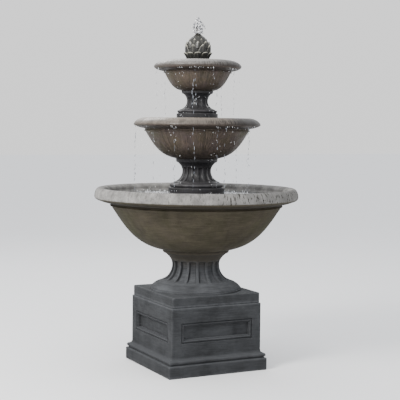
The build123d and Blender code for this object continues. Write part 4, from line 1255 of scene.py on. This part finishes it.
# ------------------------------------------------------------------ water
def swept(path, radii, sides=8, lumps=0.0, rng=None):
    """Points and faces of a closed tube along a path, with a radius at each point."""
    points, faces = [], []
    for index, (centre, radius) in enumerate(zip(path, radii)):
        ahead = Vector(path[min(index + 1, len(path) - 1)]) - Vector(path[max(index - 1, 0)])
        side = ahead.orthogonal().normalized()
        other = ahead.normalized().cross(side)
        for i in range(sides):
            a = math.tau * i / sides
            r = radius * (1 + (rng.uniform(-lumps, lumps) if rng else 0.0))
            points.append(Vector(centre) + side * (r * math.cos(a)) + other * (r * math.sin(a)))
    for j in range(len(path) - 1):
        for i in range(sides):
            a, b = j * sides + i, j * sides + (i + 1) % sides
            faces.append((a, b, b + sides, a + sides))
    faces.append(tuple(range(sides))[::-1])
    faces.append(tuple(range((len(path) - 1) * sides, len(path) * sides)))
    return points, faces


def joined_tubes(name, tubes):
    """One mesh of many closed tubes."""
    points, faces = [], []
    for tube_points, tube_faces in tubes:
        offset = len(points)
        points += tube_points
        faces += [tuple(i + offset for i in face) for face in tube_faces]
    mesh = mesh_from(name, points, faces)
    agree_outwards(mesh)
    mesh.shade_smooth()
    return mesh


def pool_mesh(name, inner, outer, level, ripple, deep, rings=60, sides=200, seed=1.0):
    """A ring of water with ripples on top and a flat underside."""
    points = []
    for j in range(rings + 1):
        r = inner + (outer - inner) * j / rings
        for i in range(sides):
            a = math.tau * i / sides
            x, y = r * math.cos(a), r * math.sin(a)
            swell = 0.0
            for k in range(9):
                b = k * 2.39996 + seed
                cx, cy = outer * 0.6 * math.cos(b), outer * 0.6 * math.sin(b)
                away = math.hypot(x - cx, y - cy)
                swell += math.sin(away * 230 + k * 1.7) * math.exp(-away * 9)
            swell += 0.5 * math.sin(x * 61 + y * 37) * math.sin(y * 53 - x * 29)
            points.append((x, y, level + swell * ripple * 0.5))
    for r in (outer, inner):
        points += [(r * math.cos(math.tau * i / sides), r * math.sin(math.tau * i / sides), level - deep)
                   for i in range(sides)]
    faces = []
    total = rings + 3
    for j in range(total):
        k = (j + 1) % total
        for i in range(sides):
            n = (i + 1) % sides
            faces.append((j * sides + i, k * sides + i, k * sides + n, j * sides + n))
    mesh = mesh_from(name, points, faces)
    point_outwards(mesh)
    mesh.shade_smooth()
    return mesh


# ------------------------------------------------------------------ operators
class FOUNTAIN_OT_finishes(bpy.types.Operator):
    """Make the shared shader groups and every finish"""

    bl_idname = "fountain.finishes"
    bl_label = "Finishes"

    def execute(self, context):
        for make in (make_grain_group, make_streak_group, make_wear_and_shade_group, make_mottle_group,
                     make_moulded_group, make_turning_tree, make_leaf_tree, make_drop_tree):
            make()
        colours = settings("colours")
        charcoal, olive, brown, wet_black, bronze, pale = (
            tuple(getattr(colours, name)) for name in FountainColours.__annotations__)
        rim_of = {n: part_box(n)[1].z for n in ("main_bowl", "middle_bowl", "top_bowl")}
        stone_material("charcoal_stone", charcoal, streak=0.2, brushing=0.8, wear=0.7, dirt=1.3,
                       sunlit=0.75)
        olive_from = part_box("main_bowl")[0].z - 0.115
        # The lower pedestal's top takes a painted warm reflection and shade from the main bowl.
        stone_material("pedestal_charcoal", scaled(charcoal, 1.75), streak=0.2, brushing=1.0, wear=0.4,
                       dirt=0.08, tint=(olive_from, scaled(olive, 0.95)), sunlit=0.1)
        stone_material("olive_stone", olive, pale_from=rim_of["main_bowl"] - 0.068, pale=pale,
                       streak=0.12, brushing=0.8, moss=0.35, dirt=0.15, pale_streak=0.40, wear_and_highlight_tone=1.9, under=0.2,
                       shade=0.027)
        stone_material("brown_stone_middle", brown, wet=0.4, pale_from=rim_of["middle_bowl"] - 0.048,
                       pale=(0.150, 0.130, 0.110), streak=0.55, moss=0.6, pale_streak=0.55,
                       wear_and_highlight_tone=1.7, rim_light_and_shade=1.0)
        stone_material("brown_stone_top", brown, wet=0.4, pale_from=rim_of["top_bowl"] - 0.048,
                       pale=(0.190, 0.180, 0.170), streak=0.6, moss=0.6, pale_streak=0.55,
                       wear_and_highlight_tone=1.7, rim_light_and_shade=0.7)
        # Strong edge tones on the wet pedestals and the finial give wear and painted wet highlights.
        stone_material("wet_black_stone", wet_black, wet=0.6, streak=0.5, wear=1.4, dirt=0.3, wear_and_highlight_tone=8.5,
                       sunlit=0.9)
        stone_material("finial_stone", bronze, wet=0.8, streak=0.5, wear=1.3, dirt=1.0, wear_and_highlight_tone=28.0,
                       grain=420.0, lit_tips=True, sunlit=0.8)
        pool_material()
        spray_material()
        jet_material()
        falling_material()
        metal_material("aged_brass", (0.09, 0.065, 0.04), 0.34, (0.030, 0.026, 0.022), 0.9)
        metal_material("aged_copper", (0.20, 0.095, 0.06), 0.36, (0.022, 0.017, 0.016), 0.85)
        metal_material("clamp_steel", (0.60, 0.60, 0.59), 0.30, (0.22, 0.19, 0.16), 0.15, brushed=1.0)
        moulded_material("hose_vinyl", (0.022, 0.023, 0.024), 0.38, silt=0.4)
        moulded_material("stopper_rubber", (0.035, 0.034, 0.033), 0.75, grain=600.0)
        moulded_material("pump_rubber", (0.020, 0.020, 0.020), 0.7, grain=600.0)
        moulded_material("pump_casing", (0.016, 0.017, 0.019), 0.42, silt=0.5)
        moulded_material("dial_plastic", (0.11, 0.11, 0.115), 0.45)
        moulded_material("shaft_ceramic", (0.80, 0.78, 0.73), 0.2, grain=1500.0, silt=0.1)
        foam_material()
        return {"FINISHED"}


class FOUNTAIN_OT_base(bpy.types.Operator):
    """Build the panelled square base"""

    bl_idname = "fountain.base"
    bl_label = "Square base"

    def execute(self, context):
        mesh = base_mesh()
        mesh.materials.append(material("charcoal_stone"))
        point_outwards(mesh)
        piece = new_object("base_stone", mesh)
        cut(piece, arch_cutter())
        smooth_by_angle(piece.data, 40.0)
        edge_masks(piece.data)
        finish_piece(piece, "fountain", "base_stone", "square_base")
        return {"FINISHED"}


# Node, finish, body, slot, flutes, columns in each, the flutes' foot and head, slab, bore, outline's sizes.
PEDESTALS = (
    ("lower_pedestal", "pedestal_charcoal", "fountain", "base_stone", 16, 26, (52, 167), SLAB, 86,
     ((258, 9), (254, 14), 2.5, (221, 40), (194, 51), (133, 140), (178, 209), (187, 225))),
    ("middle_pedestal", "wet_black_stone", "middle_pedestal", "pedestal_stone", 16, 26, (79, 160), 0.0, 42,
     ((158, 44), (146, 50), 8, (141, 70), (126, 77), (80, 138), (108, 187), (117, 207), 21)),
    ("upper_pedestal", "wet_black_stone", "upper_pedestal", "pedestal_stone", 12, 34, (57, 122), 0.0, 36,
     ((116, 31), (108, 38), 4.5, (108, 50), (97, 55), (58, 102), (78, 142), (88, 158))),
)


class FOUNTAIN_OT_pedestals(bpy.types.Operator):
    """Turn the three fluted pedestals"""

    bl_idname = "fountain.pedestals"
    bl_label = "Pedestals"

    def execute(self, context):
        slab_piece = new_object("pedestal_slab", slab_mesh())
        slab_piece.data.materials.append(material("charcoal_stone"))
        smooth_by_angle(slab_piece.data, 40.0)
        edge_masks(slab_piece.data)
        finish_piece(slab_piece, "fountain", "base_stone")
        for node, finish, body, slot, flutes, columns, span, slab, bore, sizes in PEDESTALS:
            outline = pedestal_outline(node, *sizes[:8], bore, slab, *sizes[8:])
            z = height_of(node) + slab
            turned_piece(node + "_stone", outline, finish, body, slot, node, flutes, columns,
                         (z + span[0], z + span[1]), bore)
        return {"FINISHED"}


class FOUNTAIN_OT_bowls(bpy.types.Operator):
    """Turn the three bowls"""

    bl_idname = "fountain.bowls"
    bl_label = "Bowls"

    def execute(self, context):
        main = bowl_outline("main_bowl", 190, (478, 244), (489, 264), (548, 279), (573, 300), (547, 347.5),
                            (512, 320), 40, 43, power=2.0)
        bowl = turned_piece("main_bowl_stone", main, "olive_stone", "fountain", "main_bowl_stone", "main_bowl")
        seat = height_of("main_bowl") * MM
        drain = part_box("drain_stopper")
        place = ((drain[0].x + drain[1].x) / 2, (drain[0].y + drain[1].y) / 2)
        cut(bowl, rod_cutter(DRAIN_HOLE, place, seat - 0.01, seat + 0.08))
        smooth_by_angle(bowl.data)
        middle = bowl_outline("middle_bowl", 122, (290, 152), (299, 168), (340, 180), (356, 191), (296, 227.5),
                              (270, 208), 32, 38, (98, 220, 21.55))
        turned_piece("middle_bowl_stone", middle, "brown_stone_middle", "middle_bowl", "bowl_stone", "middle_bowl")
        top = bowl_outline("top_bowl", 91, (185, 101), (193, 110), (230, 121), (245, 136), (182, 169.5),
                           (162, 150), 26, 34, (58, 154, 21.55))
        turned_piece("top_bowl_stone", top, "brown_stone_top", "top_bowl", "bowl_stone", "top_bowl")
        return {"FINISHED"}


class FOUNTAIN_OT_finial(bpy.types.Operator):
    """Build the artichoke finial with its rings of leaves"""

    bl_idname = "fountain.finial"
    bl_label = "Finial"

    def execute(self, context):
        z = height_of("finial")
        core = Outline(6.45, z, 3.0)
        core.to(52, z).to(54, z + 12).arc(70, z + 50, 3).to(75, z + 59).to(68, z + 61)
        core.curve((68, z + 88), (60, z + 122), (38, z + 143))
        core.curve((28, z + 152), (18, z + 158), (14, z + 161.5)).to(6.45, z + 161.5).to(6.45, z)
        turned_piece("finial_core", core, "finial_stone", "finial", "finial_stone", "finial")
        scale = hidden_source("scale_source", leaf_mesh(
            "scale", 0.054, 0.050, 0.0034, 0.0022, 0.0024, 0.060, (0.90, 0.10, 2.2, 1.0)))
        scales = tree_piece("finial_scales", "Leaf Rings", {
            "Leaf": scale, "Rings": 5, "Per Ring": 8, "Radius": 0.0690, "Rise": 0.092, "Start": -0.04,
            "End": 1.02, "Foot": (z + 56) * MM, "Lean": -0.03, "Shrink": 0.50, "Turn": math.radians(-3.5),
            "Material": material("finial_stone")})
        calyx = hidden_source("calyx_source", leaf_mesh(
            "calyx", 0.048, 0.049, 0.0022, 0.0060, 0.0026, 0.062, (0.76, 0.24, 5.0, 0.5)))
        leaves = tree_piece("finial_calyx", "Leaf Rings", {
            "Leaf": calyx, "Rings": 1, "Per Ring": 10, "Radius": 0.0555, "Rise": 0.0, "Start": 0.0, "End": 0.0,
            "Foot": (z + 16) * MM, "Lean": 0.40, "Shrink": 0.0, "Turn": math.radians(-8.5),
            "Material": material("finial_stone")})
        for piece in (scales, leaves):
            finish_piece(piece, "finial", "finial_stone")
        for source in (scale, calyx):
            bpy.data.objects.remove(source)
        return {"FINISHED"}


class FOUNTAIN_OT_fittings(bpy.types.Operator):
    """Give the riser, pump, hose and nozzle their finishes"""

    bl_idname = "fountain.fittings"
    bl_label = "Pump and fittings"

    def execute(self, context):
        finishes = {
            "olive_stone": ["pump_riser"],
            "aged_brass": ["nozzle", "hose_barb"],
            "aged_copper": ["copper_pipe"],
            "clamp_steel": ["hose_clamp", "volute_screws"],
            "hose_vinyl": ["riser_hose"],
            "stopper_rubber": ["drain_stopper", "middle_stopper", "top_stopper"],
            "pump_rubber": ["pump_feet", "shaft_bushes", "cover_seal", "cord_gland"],
            "pump_casing": ["pump_motor", "volute_cover", "intake_cover"],
            "dial_plastic": ["flow_dial", "impeller"],
            "shaft_ceramic": ["impeller_shaft"],
            "pump_foam": ["foam_filter"],
        }
        for finish, nodes in finishes.items():
            for node in nodes:
                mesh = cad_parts[node].data
                mesh.materials.clear()
                mesh.materials.append(material(finish))
        return {"FINISHED"}


class FOUNTAIN_OT_pools(bpy.types.Operator):
    """Fill the three bowls"""

    bl_idname = "fountain.pools"
    bl_label = "Pools"

    def execute(self, context):
        water = settings("water")
        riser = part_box("pump_riser")[1].x
        shallow = 0.0015
        pools = [
            ("main_pool", riser + 0.0005, 0.5015, water.main_level, water.ripple, 0.02, "fountain"),
            ("riser_pool", 0.012, 0.1065, water.main_level - 0.012, shallow, 0.01, "fountain"),
            ("middle_pool", 0.0985, 0.2695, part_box("middle_bowl")[1].z - 0.017, shallow, 0.02, "middle_bowl"),
            ("top_pool", 0.0585, 0.1600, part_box("top_bowl")[1].z - 0.020, shallow, 0.015, "top_bowl"),
        ]
        for name, inner, outer, level, ripple, deep, body in pools:
            mesh = pool_mesh(name, inner, outer, level, ripple, deep)
            mesh.materials.append(material("pool_water"))
            finish_piece(new_object(name, mesh), body, "main_bowl_stone")
        return {"FINISHED"}


class FOUNTAIN_OT_spray(bpy.types.Operator):
    """Make the jet, the drips under the rims, the falling drops and the splashes"""

    bl_idname = "fountain.spray"
    bl_label = "Jet and drips"

    def jet(self, water):
        """A lumpy plume with strands that rise, turn over and fall outside the nozzle."""
        rng = random.Random(water.seed)
        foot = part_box("nozzle")[1].z - 0.002
        rise = water.jet_top - foot
        tubes = []
        steps = 22
        for strand in range(64):
            inner = strand < 34
            turn = rng.uniform(0, math.tau)
            reach = rng.uniform(0.001, 0.011) if inner else rng.uniform(0.012, 0.026)
            peak = rise * (rng.uniform(0.5, 0.98) if inner else rng.uniform(0.2, 0.6))
            fall = rng.uniform(0.1, 0.5) if inner else rng.uniform(0.8, 1.15)
            path, radii = [], []
            for i in range(steps):
                t = i / (steps - 1) * (1 + fall)
                wander = 0.0015 * math.sin(t * 9 + strand)
                out = 0.002 + reach * t * 0.75 + wander
                path.append((out * math.cos(turn), out * math.sin(turn), foot + peak * t * (2 - t)))
                radii.append(rng.uniform(0.0016, 0.0042) * (1.15 - i / steps * 0.7))
            radii[-1] = 0.0006
            tubes.append(swept(path, radii, 7, 0.25, rng))
        mesh = joined_tubes("jet_strands", tubes)
        mesh.materials.append(material("jet_water"))
        finish_piece(new_object("jet_strands", mesh), "finial", "finial_stone")

    def runs(self, name, body, turns, radius, high, low, seed):
        """Falling streams below a rim, each broken into a ragged chain of drops."""
        rng = random.Random(seed)
        tubes = []
        for turn, thick in turns:
            z, away = high - rng.uniform(0.0, 0.02), 0.0
            while z > low + 0.02:
                if rng.random() > 0.42 + 0.3 * thick:
                    z -= rng.uniform(0.006, 0.028)
                    continue
                bead = rng.uniform(0.005, 0.020) * (1 + thick * 0.5)
                wide = rng.uniform(0.0006, 0.0014) * (1 + thick * 0.7)
                away = 0.8 * away + rng.uniform(-0.0030, 0.0030) * (1 + thick)
                angle = turn + away / radius
                sway = rng.uniform(-0.0015, 0.0015)
                path = [((radius + sway * i) * math.cos(angle + sway * i), (radius + sway * i) *
                         math.sin(angle + sway * i), z - bead * i / 4) for i in range(5)]
                tubes.append(swept(path, [wide * k for k in (0.4, 0.85, 1.0, 1.1, 0.5)], 6, 0.2, rng))
                z -= bead + rng.uniform(-0.002, 0.030 / (1 + thick * 3))
        mesh = joined_tubes(name, tubes)
        mesh.materials.append(material("falling_water"))
        finish_piece(new_object(name, mesh), body, "bowl_stone")

    def execute(self, context):
        water = settings("water")
        self.jet(water)
        drop = hidden_source("drop_source", drop_mesh())
        (middle_r, middle_z), (top_r, top_z) = (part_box(n)[1].xz for n in ("middle_bowl", "top_bowl"))
        level = water.main_level
        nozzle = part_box("nozzle")[0].z
        # Name, body, count, inner and outer radius, low and high level, longest and largest drop.
        curtains = [
            ("top_drips", "top_bowl", water.drips, top_r - 0.022, top_r - 0.006,
             top_z - 0.052, top_z - 0.045, 3.4, 0.9),
            ("middle_drips", "middle_bowl", water.drips + 26, middle_r - 0.028, middle_r - 0.006,
             middle_z - 0.055, middle_z - 0.045, 3.6, 0.9),
            ("top_drops", "top_bowl", water.drops, top_r - 0.058, top_r - 0.006,
             middle_z + 0.004, top_z - 0.06, 2.0, 0.7),
            ("middle_drops", "middle_bowl", water.drops * 2, middle_r - 0.080, middle_r - 0.006,
             level + 0.02, middle_z - 0.06, 2.2, 0.7),
            ("pool_splash", "fountain", 240, 0.17, 0.36, level, level + 0.016, 2.4, 1.2),
            ("jet_drops", "finial", 560, 0.002, 0.033, nozzle + 0.004, water.jet_top - 0.014, 1.4, 2.8),
        ]
        for number, (name, body, count, inner, outer, low, high, longest, large) in enumerate(curtains):
            jet = body == "finial"
            piece = tree_piece(name, "Drop Curtain", {
                "Drop": drop, "Count": count, "Inner": inner, "Outer": outer, "Low": low, "High": high,
                "Longest": longest, "Small": large * 0.4, "Large": large, "Taper": 0.72 if jet else 0.0,
                "Material": material("jet_water" if jet else "white_water"), "Seed": water.seed + 101 * number})
            finish_piece(piece, body, "bowl_stone")
        bpy.data.objects.remove(drop)
        rng = random.Random(water.seed)
        front = math.radians(-90.0 + settings("camera").azimuth)
        scattered = [(rng.uniform(0, math.tau), rng.choice((0.0, 0.0, 0.4))) for _ in range(10)]
        top_turns = [(front + math.radians(d), k) for d, k in (
            (-5, 1.0), (-3, 0.4), (22, 0.0), (-48, 0.0), (58, 0.2))]
        middle_turns = [(front + math.radians(d), k) for d, k in (
            (-20, 0.3), (-3, 0.3), (19, 0.1), (26, 0.5), (54, 0.4), (-42, 0.0))]
        self.runs("top_runs", "top_bowl", top_turns + scattered[:4], top_r - 0.010, top_z - 0.046, middle_z,
                  water.seed + 1)
        self.runs("middle_runs", "middle_bowl", middle_turns + scattered[4:], middle_r - 0.010,
                  middle_z - 0.046, level, water.seed + 2)
        return {"FINISHED"}


class FOUNTAIN_OT_stage(bpy.types.Operator):
    """Make the floor, the soft lights and the camera"""

    bl_idname = "fountain.stage"
    bl_label = "Stage"

    def light(self, name, size, power, place, target, rgb=(1.0, 1.0, 1.0)):
        """A soft square light that faces a target."""
        data = bpy.data.lights.new(name, "AREA")
        data.shape = "SQUARE"
        data.size = size
        data.energy = power
        data.color = rgb
        lamp = bpy.data.objects.new(name, data)
        lamp.location = place
        lamp.rotation_euler = (Vector(target) - Vector(place)).to_track_quat("-Z", "Y").to_euler()
        bpy.context.scene.collection.objects.link(lamp)

    def execute(self, context):
        e = 40.0
        square = [(-e, -e, 0), (e, -e, 0), (e, e, 0), (-e, e, 0)]
        floor = new_object("floor", mesh_from("floor", square, [(0, 1, 2, 3)]))
        tree, shader, place = new_material("floor_pale", Roughness=0.9)
        wire(tree, mix(tree, noise(tree, place, 3.0), (0.80, 0.80, 0.80), (0.82, 0.82, 0.82)),
             shader.inputs["Base Color"])
        floor.data.materials.append(material("floor_pale"))
        world = bpy.data.worlds.new("studio")
        world.use_nodes = True
        sky = world.node_tree
        up = split(sky, sky.nodes.new("ShaderNodeTexCoord").outputs["Generated"])[2]
        rise = remap(sky, up, 0.0, 0.9, smooth=True)
        wire(sky, mix(sky, rise, (1.24, 1.24, 1.24), (1.50, 1.54, 1.62)), sky.nodes["Background"].inputs[0])
        bpy.context.scene.world = world
        middle = (0.0, 0.0, 1.0)
        self.light("key", 1.8, 420.0, (-4.4, -1.6, 3.9), middle, (1.0, 0.985, 0.96))
        self.light("front", 2.4, 60.0, (-1.6, -4.6, 4.2), middle)
        self.light("back", 2.0, 90.0, (0.4, 4.4, 4.4), middle)
        self.camera()
        return {"FINISHED"}

    def camera(self):
        """The camera, from its distance, height and angles."""
        view = settings("camera")
        data = bpy.data.cameras.new("camera")
        data.sensor_width = 36.0
        data.lens = view.lens
        camera = bpy.data.objects.new("camera", data)
        turn = math.radians(view.azimuth)
        aim = (Matrix.Rotation(math.radians(view.heading), 4, "Z")
               @ Matrix.Rotation(math.radians(90 - view.pitch), 4, "X")
               @ Matrix.Rotation(math.radians(view.roll), 4, "Z"))
        spot = Matrix.Translation((view.distance * math.sin(turn), -view.distance * math.cos(turn),
                                   view.height))
        camera.matrix_world = spot @ aim
        bpy.context.scene.collection.objects.link(camera)
        bpy.context.scene.camera = camera


class FOUNTAIN_PT_panel(bpy.types.Panel):
    """Lists the fountain's operators and settings"""

    bl_idname = "FOUNTAIN_PT_panel"
    bl_label = "Garden Fountain"
    bl_space_type = "VIEW_3D"
    bl_region_type = "UI"
    bl_category = "Fountain"

    def draw(self, context):
        for operator in OPERATORS:
            self.layout.operator(operator.bl_idname)
        for group in GROUPS:
            box = self.layout.box()
            for name in GROUPS[group].__annotations__:
                box.prop(settings(group), name)


GROUPS = {"stone": FountainStone, "water": FountainWater, "colours": FountainColours,
          "camera": FountainCamera}
OPERATORS = (FOUNTAIN_OT_finishes, FOUNTAIN_OT_base, FOUNTAIN_OT_pedestals, FOUNTAIN_OT_bowls,
             FOUNTAIN_OT_finial, FOUNTAIN_OT_fittings, FOUNTAIN_OT_pools, FOUNTAIN_OT_spray, FOUNTAIN_OT_stage)


def register():
    """Registers the classes and the scene's settings."""
    for cls in (*GROUPS.values(), *OPERATORS, FOUNTAIN_PT_panel):
        bpy.utils.register_class(cls)
    for name, group in GROUPS.items():
        setattr(bpy.types.Scene, "fountain_" + name, PointerProperty(type=group))


def unregister():
    """Takes the settings and classes away again."""
    for name in GROUPS:
        delattr(bpy.types.Scene, "fountain_" + name)
    for cls in reversed((*GROUPS.values(), *OPERATORS, FOUNTAIN_PT_panel)):
        bpy.utils.unregister_class(cls)


def main():
    """Builds the fountain."""
    register()
    for operator in OPERATORS:
        group, name = operator.bl_idname.split(".")
        getattr(getattr(bpy.ops, group), name)()
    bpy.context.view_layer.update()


if __name__ == "__main__":
    main()
